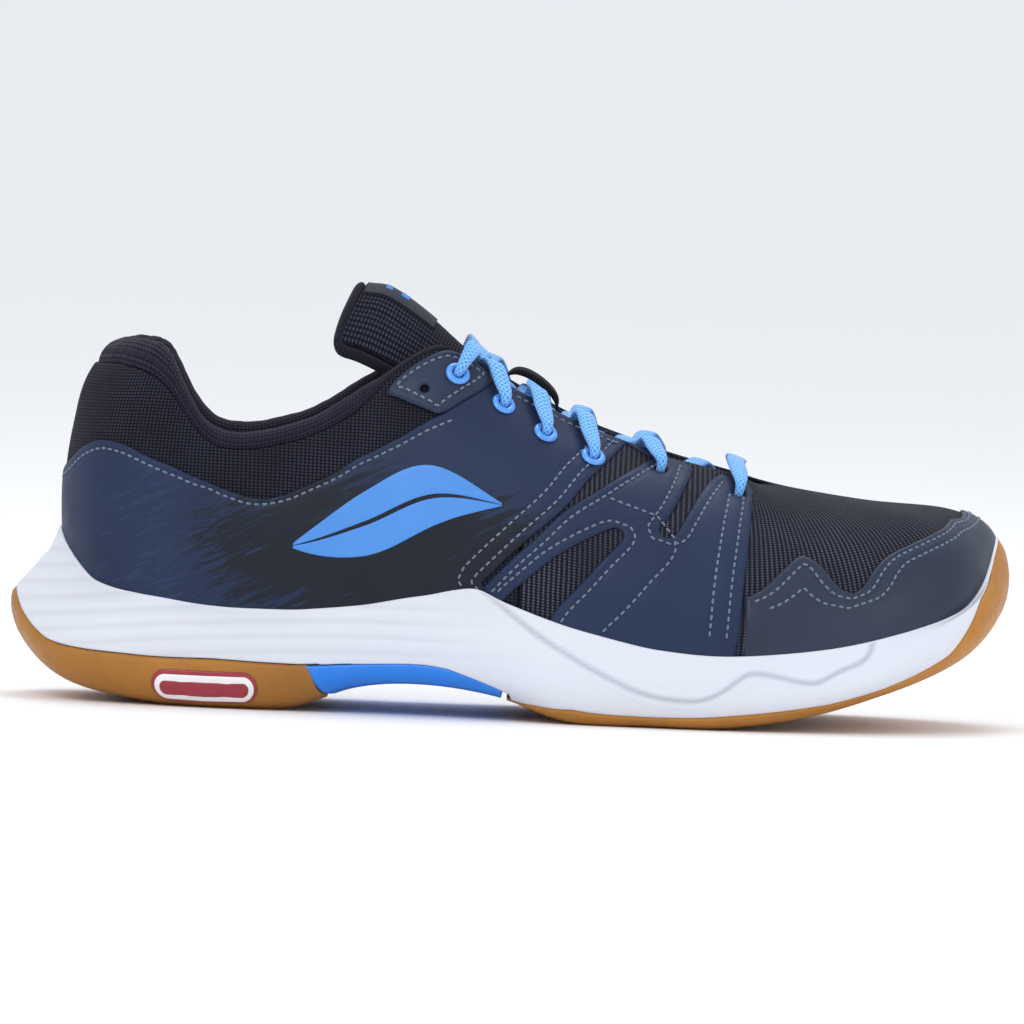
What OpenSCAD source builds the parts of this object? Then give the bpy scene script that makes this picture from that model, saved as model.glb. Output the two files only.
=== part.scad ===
// Court shoe, right foot. Toe towards +X, lateral side towards -Y, standing on Z = 0.

/* [Size] */
// Overall length of the shoe, from the back of the heel rubber to the toe
shoe_length = 300; // [285:1:315]
// Overall width over the forefoot
shoe_width = 110; // [104:1:116]
// Overall height to the top of the tongue
shoe_height = 128; // [122:1:134]

/* [Upper layers] */
// Thickness of the outer mesh
mesh_t = 0.9; // [0.7:0.05:1.2]
// Thickness of the lining
lining_t = 1.1; // [0.8:0.05:1.4]
// Thickness of the overlays
over_t = 0.85; // [0.6:0.05:1.1]
// Adhesive layer under the overlays
over_gap = 0.3; // [0.2:0.05:0.4]
// Thickness of the reinforcement at the top eyelets
tab_t = 0.8; // [0.6:0.05:1.0]
// Extra depth of the padding around the ankle
collar_pad = 4.5; // [3:0.25:5.5]
// Thickness of the rolled collar edge
roll_t = 7.5; // [6:0.25:8]

/* [Sockliner] */
// Thickness of the sockliner foam
sock_t = 3.6; // [3:0.2:4.2]
// Distance from the lower edge of the upper to the sockliner
sock_gap = 5.0; // [4.6:0.1:5.6]

/* [Lacing] */
// Outside diameter of an eyelet ring
eyelet_od = 7.6; // [7:0.1:8.2]
// Bore of the lacing holes
eyelet_bore = 4.4; // [4:0.1:4.8]
// Width of the flat lace
lace_w = 5.6; // [4.5:0.1:6.5]
// Thickness of the flat lace
lace_t = 1.7; // [1.3:0.1:2.0]
// Length of an aglet
aglet_l = 14; // [10:1:16]

/* [Hidden] */
// Control nets. 28 columns run round the shoe: 0 heel seam, 1-13 lateral, 14 toe, 15-27 medial.
// UP: outer face of the upper, 7 rows from the feather edge to the top line.
// SO: sole wall, 6 rows from the tread edge up to just below the lip.
UP = [
[[24,0,22],[17,0,37],[15.3,0,52.5],[15.1,0,68],[16.9,0,82.5],[20.3,0,96.5],[29,0,110]],
[[31,-18.5,22],[25.5,-21,37],[23.8,-21.9,52],[23.4,-21.5,67],[24.8,-20,82],[28.5,-17.5,97],[37,-14,111]],
[[43,-28.5,22],[41.3,-31.6,36],[40.5,-32.8,50],[40.3,-32.3,64],[41,-30.5,78],[42.8,-27.5,92],[46,-22.5,106.5]],
[[62,-32,21.8],[61.5,-34.8,32.5],[61,-35.8,43.5],[60.5,-35.3,54.5],[60.3,-33.6,65],[60.3,-31.3,75.5],[60.5,-27.5,85.3]],
[[85,-34,21.5],[85,-36.8,33],[85,-38,44.5],[85,-37.3,56],[85,-35.3,67],[85,-32.6,78],[85,-28.8,88]],
[[106,-36,21],[106,-39,34],[106,-40.2,47.5],[106,-39.3,61],[106,-36.8,74.5],[106,-33,88],[106,-27.5,100.5]],
[[126,-39,20.5],[126,-42.2,35.5],[126,-43,51],[126,-41.5,66.5],[126,-37.8,82],[126,-31.8,97.5],[127,-23.5,110.5]],
[[148,-43,19.5],[148,-46,33],[148,-46.3,47],[148,-44.3,61],[148,-39.8,75],[148,-31.5,88.5],[148.5,-19,99.5]],
[[170,-47.5,17],[170,-50.2,29],[170,-50,42],[170,-47.2,54.5],[170,-41.5,67],[170,-31,79.5],[170.5,-16.5,88.8]],
[[194,-50,14],[194,-52.6,25],[194,-52,37.5],[194,-48.3,50],[194,-41,62],[194,-29.5,73],[194,-15,81]],
[[216,-50.2,12.5],[217,-52.8,23],[217.5,-52,34.5],[217.5,-48,46.5],[217.5,-40,58],[217,-28,68.5],[215.5,-13,76]],
[[242,-45.5,16],[246,-48,25.5],[246.5,-47.3,36],[245,-43,47.5],[241,-35,58.5],[234.5,-23.5,67],[222,-8.5,73]],
[[264,-35.5,21],[269,-37.3,30.5],[269.5,-36.3,40.5],[267,-32.5,51],[260.5,-26,60.5],[247.5,-16.5,67],[224.5,-4.5,72.5]],
[[280,-19.5,27],[286,-21,36],[287.2,-20.2,46],[284,-18,56],[274.5,-14,64],[254,-8,67.8],[225.5,-1.5,72]],
[[288,8,32],[295,8.5,41],[297,8.5,51],[293.5,8.2,60.5],[281.5,7.2,66.2],[256.5,5,68],[226,1,72]],
[[284,25,29],[290.5,27,38],[291.8,26.5,48],[288,24.5,57.5],[276.5,20,64.5],[254,13,67.8],[225.5,4,72.2]],
[[271,37.5,22.5],[276.5,39.8,31.5],[277.2,39,41.5],[274,35.5,52],[265,29.5,61],[248.5,19.5,67],[224.5,7,72.8]],
[[247,44.3,17],[250,46.8,26],[250.5,46.3,36.5],[248.5,42.8,47.5],[243.5,36,57.5],[235.5,25,66.5],[222,10.5,73.5]],
[[216,46.2,13],[217,49,23],[217.5,48.8,34],[217.5,45.5,45.5],[217.5,38.5,57],[217,27.8,67.5],[215.5,14,75.5]],
[[194,42.5,14.5],[194,45.3,26],[194,45.5,38],[194,43,50],[194,37.5,62],[194,28.5,73],[194,15.8,81]],
[[170,36,17],[170,38.8,29.5],[170,40,42.5],[170,39,55],[170,35.5,67.5],[170,28.5,79.5],[170.5,17,88.8]],
[[148,31.5,19.5],[148,34,33],[148,35.8,47],[148,36,61],[148,34,75],[148,28.5,88.5],[148.5,19.5,99.5]],
[[126,30.5,21],[126,33,36],[126,35,51],[126,35.5,66.5],[126,34,82],[126,30,97.5],[127,23.8,110.5]],
[[106,31.5,21.5],[106,34,34.5],[106,35.5,48],[106,35.3,61.5],[106,34,75],[106,31.3,88.5],[106,27,101]],
[[85,32.3,21.8],[85,34.8,33.5],[85,36,45],[85,35.5,56.5],[85,34,67.5],[85,31.8,78.5],[85,28.3,88.5]],
[[62,31.2,22],[61.5,33.8,33],[61,34.8,44],[60.5,34.3,55],[60.3,32.8,65.5],[60.3,30.6,76],[60.5,27,86]],
[[43,28,22],[41.3,30.8,36.5],[40.5,31.8,50.5],[40.3,31.3,64.5],[41,29.7,78.5],[42.8,26.8,92.5],[46,22,106.5]],
[[31,18,22],[25.5,20.5,37],[23.8,21.2,52.5],[23.4,20.8,67.5],[24.8,19.5,82.5],[28.5,17,97.5],[37,13.5,111]]];
SO = [
[[30,0,1.8],[13,0,8],[2.8,0,19],[0.3,0,30],[5.5,0,37.5],[11.2,0,44.5]],
[[36,-17,1.2],[22,-23.5,5],[14.2,-26.8,11.5],[12.2,-27.6,18.5],[14.5,-26.6,25],[19,-24.4,31]],
[[46,-26.5,0.4],[41.5,-32.8,3],[38.8,-36.8,8.5],[38.2,-38,15.3],[38.8,-37.2,21.5],[40,-35.2,27.5]],
[[62,-31,0],[62,-37,2.2],[62,-40.6,7.8],[62,-41.8,15],[62,-41,21],[61.8,-38.8,26]],
[[85,-32,0.9],[85,-38,3.5],[85,-41.6,8.8],[85,-42.8,15],[85,-42,21],[85,-40,26]],
[[106,-34,8],[106,-39,9],[106,-42.3,12],[106,-43.6,16.2],[106,-43.3,22],[106,-41.8,27.5]],
[[126,-37,9.6],[126,-42,10.4],[126,-45.2,13],[126,-46.6,17],[126,-46.6,23.5],[126,-45.2,30]],
[[148,-41,7],[148,-46.5,8],[148,-50,11],[148,-51.3,15.5],[148,-51,22],[148,-49.2,29]],
[[170,-44,0.2],[170,-50,1.5],[170,-53.8,5],[170,-55.3,10],[170,-55,16.5],[170,-53.3,23]],
[[194,-46.5,0],[194,-52.2,1.2],[194,-55.6,4],[194,-57,8.5],[194,-56.7,13.5],[194,-55.4,18.5]],
[[215,-46,0.3],[216.5,-52,1.6],[217,-55.5,4.5],[217.3,-57,8.7],[217.3,-56.7,13.2],[217.2,-55.4,17.8]],
[[238,-40,3.8],[243.5,-46,5.8],[247,-49.8,9],[248.6,-51.2,13],[248.4,-50.9,17.2],[247.4,-49.8,21.3]],
[[254,-28.5,8.5],[263,-34.8,11.5],[269.5,-38.8,15.2],[272.8,-40.6,19.5],[273,-40.6,23.8],[271.8,-39.4,27.8]],
[[264,-13,11.2],[277,-18.5,16.5],[286.5,-22,22.5],[291.5,-23.8,29],[292,-23.8,34.5],[290.4,-22.8,39]],
[[268,7,12.5],[282,8,18.5],[293,8.7,26.5],[299.2,9,36],[300.8,9,45],[299.6,9,52.5]],
[[266,22,12],[279.5,25.5,17.2],[289.5,28.6,23.5],[295.3,30.3,30.5],[296.2,30.3,36.5],[294.8,29.3,41.5]],
[[257,33,9.2],[267.5,38,12.5],[275.5,41.6,16.5],[279.8,43.4,21],[280.2,43.4,25.5],[278.8,42.2,29.7]],
[[240,39.5,4.3],[246,45.5,6.5],[250.3,49.2,9.8],[252.3,50.6,14],[252.2,50.3,18],[251.3,49.2,22]],
[[215,42.5,0.3],[216.5,48,1.6],[217,51.6,4.5],[217.3,53,8.7],[217.3,52.7,13.2],[217.2,51.4,17.8]],
[[194,38.5,0],[194,44,1.2],[194,47.6,4.2],[194,49.2,9],[194,49,14.2],[194,47.8,19.5]],
[[170,32,0.2],[170,37,1.5],[170,40.6,5],[170,42.3,10],[170,42.2,16],[170,41.2,22.3]],
[[148,27,7],[148,31.5,8],[148,34.8,11],[148,36.3,15.5],[148,36.8,22],[148,36.2,28.5]],
[[126,25,9.6],[126,29.6,10.4],[126,33,13],[126,34.6,17.2],[126,35.2,23.5],[126,34.9,30]],
[[106,26,8],[106,30.8,9],[106,34.2,12],[106,35.8,16.4],[106,36.3,22],[106,36,28]],
[[85,28,0.9],[85,33.6,3.5],[85,37,8.8],[85,38.4,15],[85,38.4,20.8],[85,37.3,26]],
[[62,29,0],[62,35,2.2],[62,38.6,7.8],[62,40,15],[62,39.4,20.8],[61.8,37.2,26]],
[[46,25.5,0.4],[41.5,31.5,3],[38.8,35.3,8.5],[38.2,36.5,15.3],[38.8,35.9,21.5],[40,34.2,27.5]],
[[36,16.5,1.2],[22,22.5,5],[14.2,25.8,11.5],[12.2,26.6,18.5],[14.5,25.7,25],[19,23.6,31]]];
BITE = [[0,1.97],[0.5,1.5],[1,0.97],[1.5,0.83],[2,0.78],[3,0.83],[4,0.77],[5,0.9],[6,1.06],[6.68,1.38],[7,1.2],[7.5,1.07],[8,0.97],[9,0.87],[10,0.93],[11,0.98],[12,1.05],[12.6,1.17],[13,1.4],[13.3,1.85],[13.6,2.5],[14,2.75],[14.4,2.5],[14.7,1.85],[15,1.4],[15.4,1.17],[16,1.06],[17,1],[18,0.95],[19,0.9],[20,0.95],[20.5,1.05],[21,1.18],[21.3,1.3],[22,1.05],[23,0.93],[24,0.83],[25,0.84],[26,0.8],[26.5,0.84],[27,0.97],[27.5,1.5],[28,1.97]];

// scale of the control nets
sx = shoe_length/300; sy = shoe_width/110; sz = shoe_height/128;
sc = function(c) [for (p=c) [p.x*sx,p.y*sy,p.z*sz]];
UN = [for (c=UP) sc(c)];
SN = [for (c=SO) sc(c)];
// centre of the outline, so that the frame stands in the middle
cx = 150.55*sx; cy = -2.15*sy;

// ---------- surface of the upper and of the sole wall ----------
function crw(t) = [(-t*t*t+2*t*t-t)/2,(3*t*t*t-5*t*t+2)/2,(-3*t*t*t+4*t*t+t)/2,(t*t*t-t*t)/2];
function R(c,i) = let(m=len(c)-1) i<0 ? 2*c[0]-c[1] : i>m ? 2*c[m]-c[m-1] : c[i];
function cr4(c,t) = let(m=len(c)-1,i=max(0,min(m-1,floor(t))),b=crw(t-i))
  b[0]*R(c,i-1)+b[1]*R(c,i)+b[2]*R(c,i+1)+b[3]*R(c,i+2);
function S(u,v) = let(i=floor(u),a=crw(u-i),p=[for(q=[0:3]) cr4(UN[(i+q+55)%28],v)])
  a[0]*p[0]+a[1]*p[1]+a[2]*p[2]+a[3]*p[3];
function unit(v) = v/norm(v);
function N(u,v) = let(e=0.03) unit(cross(S(u+e,v)-S(u-e,v),S(u,v+e)-S(u,v-e)));
function O(u,v,d) = S(u,v)+d*N(u,v);
function m28(u) = u<0 ? u+28 : u>28 ? u-28 : u;
function bite(u) = lookup(m28(u),BITE);
function W(u,w) = let(i=floor(u),a=crw(u-i),q=[for(k=[0:3]) SN[(i+k+55)%28]],
  c=concat([for(r=[0:5]) a[0]*q[0][r]+a[1]*q[1][r]+a[2]*q[2][r]+a[3]*q[3][r]],[O(u,bite(u),1.6)])) cr4(c,w);
function WN(u,w) = let(e=0.03) unit(cross(W(u+e,w)-W(u-e,w),W(u,min(6,w+e))-W(u,w-e)));
function V(u,w,d) = W(u,w)+d*WN(u,w);

// ---------- closed solid between two grids of points ----------
function tri(q) = [for(t=[[q[0],q[1],q[2]],[q[0],q[2],q[3]]]) if(t[0]!=t[1]&&t[1]!=t[2]&&t[0]!=t[2]) t];
module solid(A,B,wrap=false,zip0=false,zip1=false,jw=1000) {
  n=len(A)-1; m=len(A[0])-1; tot=(n+1)*(m+1);
  mp=function(i,j) (zip0&&i==0)||(zip1&&i==n) ? min(j,m-j,jw) : j;
  a=function(i,j) (i%(n+1))*(m+1)+mp(i%(n+1),j);
  b=function(i,j) tot+(i%(n+1))*(m+1)+mp(i%(n+1),j);
  e=wrap?n:n-1;
  f=concat(
    [for(i=[0:e],j=[0:m-1],t=tri([a(i,j),a(i,j+1),a(i+1,j+1),a(i+1,j)])) t],
    [for(i=[0:e],j=[0:m-1],t=tri([b(i,j),b(i+1,j),b(i+1,j+1),b(i,j+1)])) t],
    [for(i=[0:e],t=tri([a(i,0),a(i+1,0),b(i+1,0),b(i,0)])) t],
    [for(i=[0:e],t=tri([a(i,m),b(i,m),b(i+1,m),a(i+1,m)])) t],
    wrap||zip0?[]:[for(j=[0:m-1],t=tri([a(0,j),b(0,j),b(0,j+1),a(0,j+1)])) t],
    wrap||zip1?[]:[for(j=[0:m-1],t=tri([a(n,j),a(n,j+1),b(n,j+1),b(n,j)])) t]);
  polyhedron(points=concat([for(r=A,p=r) p],[for(r=B,p=r) p]),faces=f,convexity=8);
}
module place() translate([-cx,-cy,0]) children();
function steps(a,b,n) = [for(i=[0:n]) a+(b-a)*i/n];
function rev(l) = [for(i=[len(l)-1:-1:0]) l[i]];

// patch of the upper: columns us, rows vf(u), outer offset fo, inner offset fi
module patch(us,vf,fo,fi,wrap=false)
  solid([for(u=us) [for(v=vf(u)) O(u,v,fo(u,v))]],[for(u=us) [for(v=vf(u)) O(u,v,fi(u,v))]],wrap);

// section across the shoe: rim of the lateral side, down, across, up the medial side
function sect(f,k,nb,cr=0) = let(L=f(k),M=f(28-k),a=L[len(L)-1],b=M[len(M)-1])
  concat(L,[for(i=[1:nb]) a+(b-a)*i/(nb+1)+[0,0,cr*min(1,norm(b-a)/20)]],rev(M));
module bowl(ks,ft,fb,nb,crt=0,crb=0,zip0=false,zip1=false)
  solid([for(k=ks) sect(ft,k,nb,crt)],[for(k=ks) sect(fb,k,nb,crb)],false,zip0,zip1,len(ft(ks[0]))-1);

// ---------- sole ----------
// height on the wall where the rubber ends
function wheel(k) = lookup(k,[[0,3.35],[0.5,3.05],[1,2.95],[3,3],[4,2.9],[4.2,2.85]]);
function wfore(k) = lookup(k,[[7.1,0.5],[8,1.9],[9,1.75],[10,1.85],[11,1.95],[12,2.3],[12.6,2.7],[13,3.4],[13.5,4.7],[14,5.95]]);
function wshank(k) = lookup(k,[[4,2.85],[5,2.78],[6,2.75],[6.3,2.6],[7.15,1.4]]);
function mir(k) = k>14 ? 28-k : k;
function thin(w) = max(0.2,min(1,(6-w)/2.6));   // share of the rubber's thickness left near the lip
function dn(u,wt,d,n) = [for(i=[n:-1:1]) V(u,wt*i/n,d*thin(wt*i/n)),
  let(p=W(u,0),q=WN(u,0)) p+d*unit([q.x,q.y,q.z-1.2])];

module heel_outsole() color([0.66,0.40,0.12]) place() {
  // columns squeeze so that the front edge slants from the top of the wall to the tread
  ks=[0,0.25,0.5,0.75,1,1.5,2,2.5,3,3.5,4,4.4];
  f=function(u,d) let(k=mir(u),s=u>14?-1:1,wt=wheel(min(4.1,k)))
    [for(i=[4:-1:1]) let(w=wt*i/4,kk=k*(1+max(0,k-3)*0.025*(1-2*w/wt)),uu=s>0?kk:28-kk) V(uu,w,d),
     let(kk=k*(1+max(0,k-3)*0.025),uu=s>0?kk:28-kk,q=WN(uu,0)) W(uu,0)+d*unit([q.x,q.y,q.z-1.2])];
  union() {
    bowl(ks,function(u) f(u,-3.2),function(u) f(u,0),6,0,0.9,true,false);
    // tread pad that stands on the court
    for(x=[0:5]) translate([46+x*7,-29+abs(x-2),0]) linear_extrude(height=2.2) square([5.2,55-abs(x-2)*2]);
  }
}
module forefoot_outsole() color([0.70,0.43,0.14]) place() {
  ks=[7.12,7.5,8,8.5,9,9.5,10,10.5,11,11.5,12,12.5,13,13.5,13.75,14];
  f=function(u,d) dn(u,wfore(mir(u)),d,5);
  t=function(u) lookup(mir(u),[[7.12,0.6],[8,2.6],[14,2.8]]);
  union() {
    bowl(ks,function(u) f(u,-t(u)),function(u) f(u,0),6,0,0.7,false,true);
    for(x=[0:5]) translate([171+x*7,-45.5,0]) linear_extrude(height=1.9) square([5.2,lookup(x,[[0,77],[2,82],[5,87]])]);
  }
}
module midfoot_shank() color([0.08,0.50,0.88]) place() {
  ks=[4.66,5,5.5,6,6.5,7.04];
  f=function(u,d) let(k=mir(u),wt=wshank(k),e=max(0,5.4-k)/0.74)
    [for(i=[4:-1:1]) let(w=wt*i/4,kk=k-0.32*e*i/4,uu=u>14?28-kk:kk) V(uu,w,d),
     let(q=WN(u,0)) W(u,0)+d*unit([q.x,q.y,q.z-1.2])];
  bowl(ks,function(u) f(u,-2.4),function(u) f(u,0),6,0,0.0,false,false);
}
module midsole() color([0.90,0.91,0.94]) place() {
  ks=[0,0.25,0.5,0.75,1,1.5,2,2.5,3,3.5,4,4.4,4.66,5,5.5,6,6.5,7.04,7.12,7.5,8,8.5,9,9.5,10,10.5,11,11.5,12,12.5,13,13.5,13.75,14];
  // outside: down the wall to the rubber, then over the inner face of the rubber
  wb=function(k) max(0.02,k<4.42?wheel(min(4.1,k)):k<4.9?2.86:k<7.1?wshank(k):wfore(k))+0.1;
  ti=function(k) lookup(k,[[0,3.7],[4.4,3.7],[4.66,3.1],[7,3.1],[7.12,2.0],[7.5,2.3],[8,3.1],[14,3.3]]);
  tw=function(u,w) mir(u)>7.1 ? max(0.3,ti(mir(u))*thin(w)+0.1*(1-thin(w))) : ti(mir(u));
  fo=function(u) let(k=mir(u),w0=min(5.9,wb(k))) concat(
    [for(i=[0:4]) W(u,6-(6-w0)*i/4)],
    [V(u,w0-0.02,-tw(u,w0)),V(u,w0*0.6,-tw(u,w0*0.6)),V(u,w0*0.3,-ti(k)),let(q=WN(u,0)) W(u,0)-ti(k)*unit([q.x,q.y,q.z-1.2])]);
  fi=function(u) let(b=bite(u)) concat([W(u,6)-0.95*N(u,b)],
    [for(i=[1:7]) let(v=b*(1-i/8)) O(u,v,0.65)],[S(u,0)+[0,0,-2.1]]);
  bowl(ks,fi,fo,4,0,0,true,true);
}
module outsole_badge() color([0.55,0.06,0.10]) place() {
  G=function(d) [for(i=[0:12]) let(x=-15.6*cos(i*15),h=abs(x)<11.9?3.7:sqrt(max(0.1,13.69-(abs(x)-11.9)*(abs(x)-11.9)))) [for(j=[-1:1]) V(2.9+x/22.5,1.72+j*h/5.6,d)]];
  solid(G(1.0),G(0.2));
}

// flat pieces under the foot: inset from the lower edge of the upper
flat_ks = [0,0.3,0.6,1,1.5,2,3,4,5,6,7,8,9,10,11,12,12.5,13,13.5,14];
module footbed(ins,z0,z1,cup=0) {
  g=function(u,z) let(n=N(u,0.3),h=unit([n.x,n.y,0]),p=S(u,0)) [p+[0,0,z]-(ins-0.3)*h,p+[0,0,z]-(ins+2.5)*h];
  bowl(flat_ks,function(u) let(g1=g(u,z1)) [g1[0]+[0,0,cup],g1[1]+[0,0,cup*0.4]],
    function(u) let(g0=g(u,z0)) [g0[0]+[0,0,cup],g0[1]+[0,0,cup*0.4]],5,0,0,true,true);
}
module strobel_board() color([0.86,0.84,0.76]) place() footbed(0.6,-1.75,-0.3);
module sockliner_foam() color([0.14,0.16,0.22]) place() footbed(sock_gap,0.15,0.15+sock_t,1.2);
module sockliner_cloth() color([0.10,0.35,0.62]) place() footbed(sock_gap,0.2+sock_t,1.1+sock_t,1.2);

// ---------- upper ----------
function sm(a,b,x) = let(t=max(0,min(1,(x-a)/(b-a)))) t*t*(3-2*t);
function hk(u) = abs(u>14?u-28:u);   // columns away from the heel seam
// depth of the lining: plain, behind the counter and the toe puff, and under the collar pad
function dep(u,v) = mesh_t+0.25
  + 1.2*(1-sm(3.3,3.9,hk(u)))*(1-sm(3.3,3.8,v))
  + 1.2*(1-sm(2.2,2.8,abs(14-u)))*(1-sm(3.0,3.6,v))
  + (collar_pad+0.1)*(1-sm(4.4,5.7,hk(u)))*sm(2.4,4.2,v)*(1-0.25*sm(4.6,5.3,v));
vmax = function(u) hk(u)<4.8 ? 5.15 : min(5.9,5.15+(hk(u)-4.8)*0.9);
all_u = [for(i=[0:55]) i/2];
grid = function(a,b) concat([a],[for(i=[ceil(a*2+0.01):floor(b*2-0.01)]) i/2],[b]);
vr = function(a,b,n) [for(i=[0:n]) a+(b-a)*i/n];

// lacing holes: columns and rows, heel end first
HL = [[6.25,5.4],[6.9,5.35],[7.5,5.15],[8.15,5.05],[9,5.35],[10.05,5.15]];
module bore(u,v,d,l) { p=S(u,v); n=N(u,v);
  translate(p) rotate([0,acos(n.z),atan2(n.y,n.x)]) translate([0,0,-l]) cylinder(h=l+4,d=d,$fn=28); }
module bores(i0,i1,d,l=9,lock=false,sides=[0,1]) {
  for(s=sides,i=[i0:i1]) bore(s==0?HL[i][0]:28-HL[i][0],HL[i][1],d,l);
  if(lock) for(s=sides) bore(s==0?5.83:22.17,5.05,2.6,l);
}
module vamp_mesh() color([0.14,0.13,0.19]) place() difference() {
  patch(grid(7.25,20.75),function(u) vr(0,u<7.4||u>20.6?5.9:5.97,12),function(u,v) 0,function(u,v) -mesh_t);
  bores(2,5,eyelet_bore);
}
module collar_mesh() color([0.13,0.12,0.18]) place() difference() {
  patch(grid(20.8,35.2),function(u) vr(0,vmax(u>28?u-28:u),12),function(u,v) 0,function(u,v) -mesh_t);
  bores(0,1,eyelet_bore,9,true);
}
module upper_lining() color([0.10,0.10,0.14]) place() difference() {
  patch(all_u,function(u) vr(0,vmax(u),12),function(u,v) -dep(u,v),function(u,v) -dep(u,v)-lining_t,true);
  bores(0,5,eyelet_bore,9,true);
}
module heel_counter() color([0.78,0.78,0.74]) place()
  patch(grid(-3.2,3.2),function(u) vr(0.35,3.1-0.07*u*u,8),function(u,v) -mesh_t-0.3,function(u,v) -mesh_t-0.9);
module toe_puff() color([0.78,0.78,0.74]) place()
  patch(grid(11.9,16.1),function(u) vr(0.4,2.85-abs(u-14)*0.25,8),function(u,v) -mesh_t-0.3,function(u,v) -mesh_t-0.9);
module collar_foam() color([0.85,0.80,0.45]) place()
  patch(grid(-4.7,4.7),function(u) vr(3.45,5.0,6),function(u,v) -mesh_t-0.4,
    function(u,v) -max(mesh_t+0.8,dep(m28(u),v)-0.45));
module collar_roll() color([0.13,0.12,0.19]) place() {
  us=steps(-6.1,6.1,36);
  th=function(u) lookup(abs(u),[[0,roll_t],[3.5,roll_t],[4.6,roll_t*0.75],[5.4,roll_t*0.4],[6.1,roll_t*0.26]]);
  vc=function(u) lookup(abs(u),[[0,5.62],[4.8,5.62],[5.4,5.86],[6.1,6.02]]);
  vh=function(u) lookup(abs(u),[[0,0.36],[4.8,0.34],[5.4,0.12],[6.1,0.07]]);
  // oval section that hangs over the edge of the collar
  g=function(u,a) let(t=th(u),v=vc(u),h=vh(u),c=O(u,v,-t*0.5-0.2),n=N(u,v),d=unit(S(u,v+0.1)-S(u,v-0.1))) c+n*(t*0.5+0.5)*cos(a)+d*norm(S(u,v+h)-S(u,v-h))*0.5*sin(a);
  n=10;
  pts=[for(u=us,j=[0:n-1]) g(u,j*360/n)];
  m=len(us)-1;
  polyhedron(points=pts,faces=concat(
    [for(i=[0:m-1],j=[0:n-1],t=tri([i*n+j,i*n+(j+1)%n,(i+1)*n+(j+1)%n,(i+1)*n+j])) t],
    [for(j=[1:n-2]) [0,j+1,j]],[for(j=[1:n-2]) [m*n,m*n+j,m*n+j+1]]),convexity=6);
}

// ---------- overlays ----------
fo1=function(u,v) over_gap+over_t; fi1=function(u,v) over_gap;
function qtop(k) = lookup(k,[[0,3.1],[0.5,3.4],[1.2,3.8],[2,3.75],[2.9,4.2],[3.6,3.85],[4.2,4.0],[5.2,4.3],[5.6,4.3],[6,4.5],[6.4,4.9],[6.65,5.3],[6.85,5.85],[9,5.85]]);
function qfront(k) = lookup(k,[[6.75,1.4],[7.1,2.1],[7.45,2.8],[7.85,3.65],[8.15,4.4],[8.62,5.85]]);
module quarter(s) {
  us=[0.05,0.25,0.5,0.75,1,1.5,2,2.5,3,3.5,4,4.5,5,5.5,6,6.5,6.75,7,7.25,7.5,7.75,8,8.25,8.5];
  vf=function(k) vr(k<=6.75?bite(k)+0.1:qfront(k),qtop(k),9);
  if(s==0) patch(us,function(u) vf(u),fo1,fi1);
  else patch([for(i=[len(us)-1:-1:0]) 28-us[i]],function(u) vf(28-u),fo1,fi1);
}
module lateral_quarter() color([0.20,0.24,0.34]) place() difference() { quarter(0); bores(0,3,eyelet_bore,9,true,[0]); }
module medial_quarter() color([0.20,0.24,0.34]) place() difference() { quarter(1); bores(0,3,eyelet_bore,9,true,[1]); }
// forefoot overlay with its two windows
function fback(v) = lookup(v,[[0.9,6.86],[1.4,6.94],[2.1,7.27],[2.8,7.62],[3.6,8.0],[4.35,8.4],[5,8.75],[5.55,8.97]]);
function fright(v) = lookup(v,[[0.9,10.06],[3,10.12],[4.2,10.2],[5.55,10.4]]);
module fingers(s) {
  vs=[0.95,1.4,2,2.6,3.2,3.8,4.4,5.0,5.55];
  uv=function(i,v) let(u=fback(v)+(fright(v)-fback(v))*i/9) [u,v<3 ? v+(bite(u)+0.1-0.95)*(3-v)/2.05 : v];
  G=function(d) [for(i=[0:9]) [for(v=vs) let(p=uv(i,v)) O(p[0],p[1],d)]];
  H=function(d) [for(i=[9:-1:0]) [for(v=vs) let(p=uv(i,v)) O(28-p[0],p[1],d)]];
  if(s==0) solid(G(over_gap+over_t),G(over_gap)); else solid(H(over_gap+over_t),H(over_gap));
}
module windows(s) {
  translate([0,s==0?-62:62,0]) rotate([90,0,0]) linear_extrude(height=84,center=true) scale([sx,sz]) union() {
    polygon([[150,37],[178,57],[183,56.5],[163,31.5]]);
    polygon([[203,84],[194.5,58.5],[198.5,57],[212,81]]);
  }
}
module lateral_fingers() color([0.20,0.24,0.35]) place() difference() { fingers(0); windows(0); bores(4,5,eyelet_bore,9,false,[0]); }
module medial_fingers() color([0.20,0.24,0.35]) place() difference() { fingers(1); windows(1); bores(4,5,eyelet_bore,9,false,[1]); }
function ctop(k) = lookup(k,[[10.18,2.5],[10.5,3.1],[10.75,3.5],[11,3.1],[11.25,2.5],[11.5,2.8],[11.75,3.2],[12.25,3.4],[13,3.6],[13.6,3.8],[14,3.95]]);
module toe_cap() color([0.20,0.24,0.35]) place() {
  a=[10.18,10.5,10.75,11,11.25,11.5,11.75,12,12.25,12.5,12.75,13,13.25,13.5,13.75,14];
  us=concat(a,[for(i=[14:-1:0]) 28-a[i]]);
  patch(us,function(u) vr(bite(u)+0.1,ctop(mir(u)),8),fo1,fi1);
}
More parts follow.
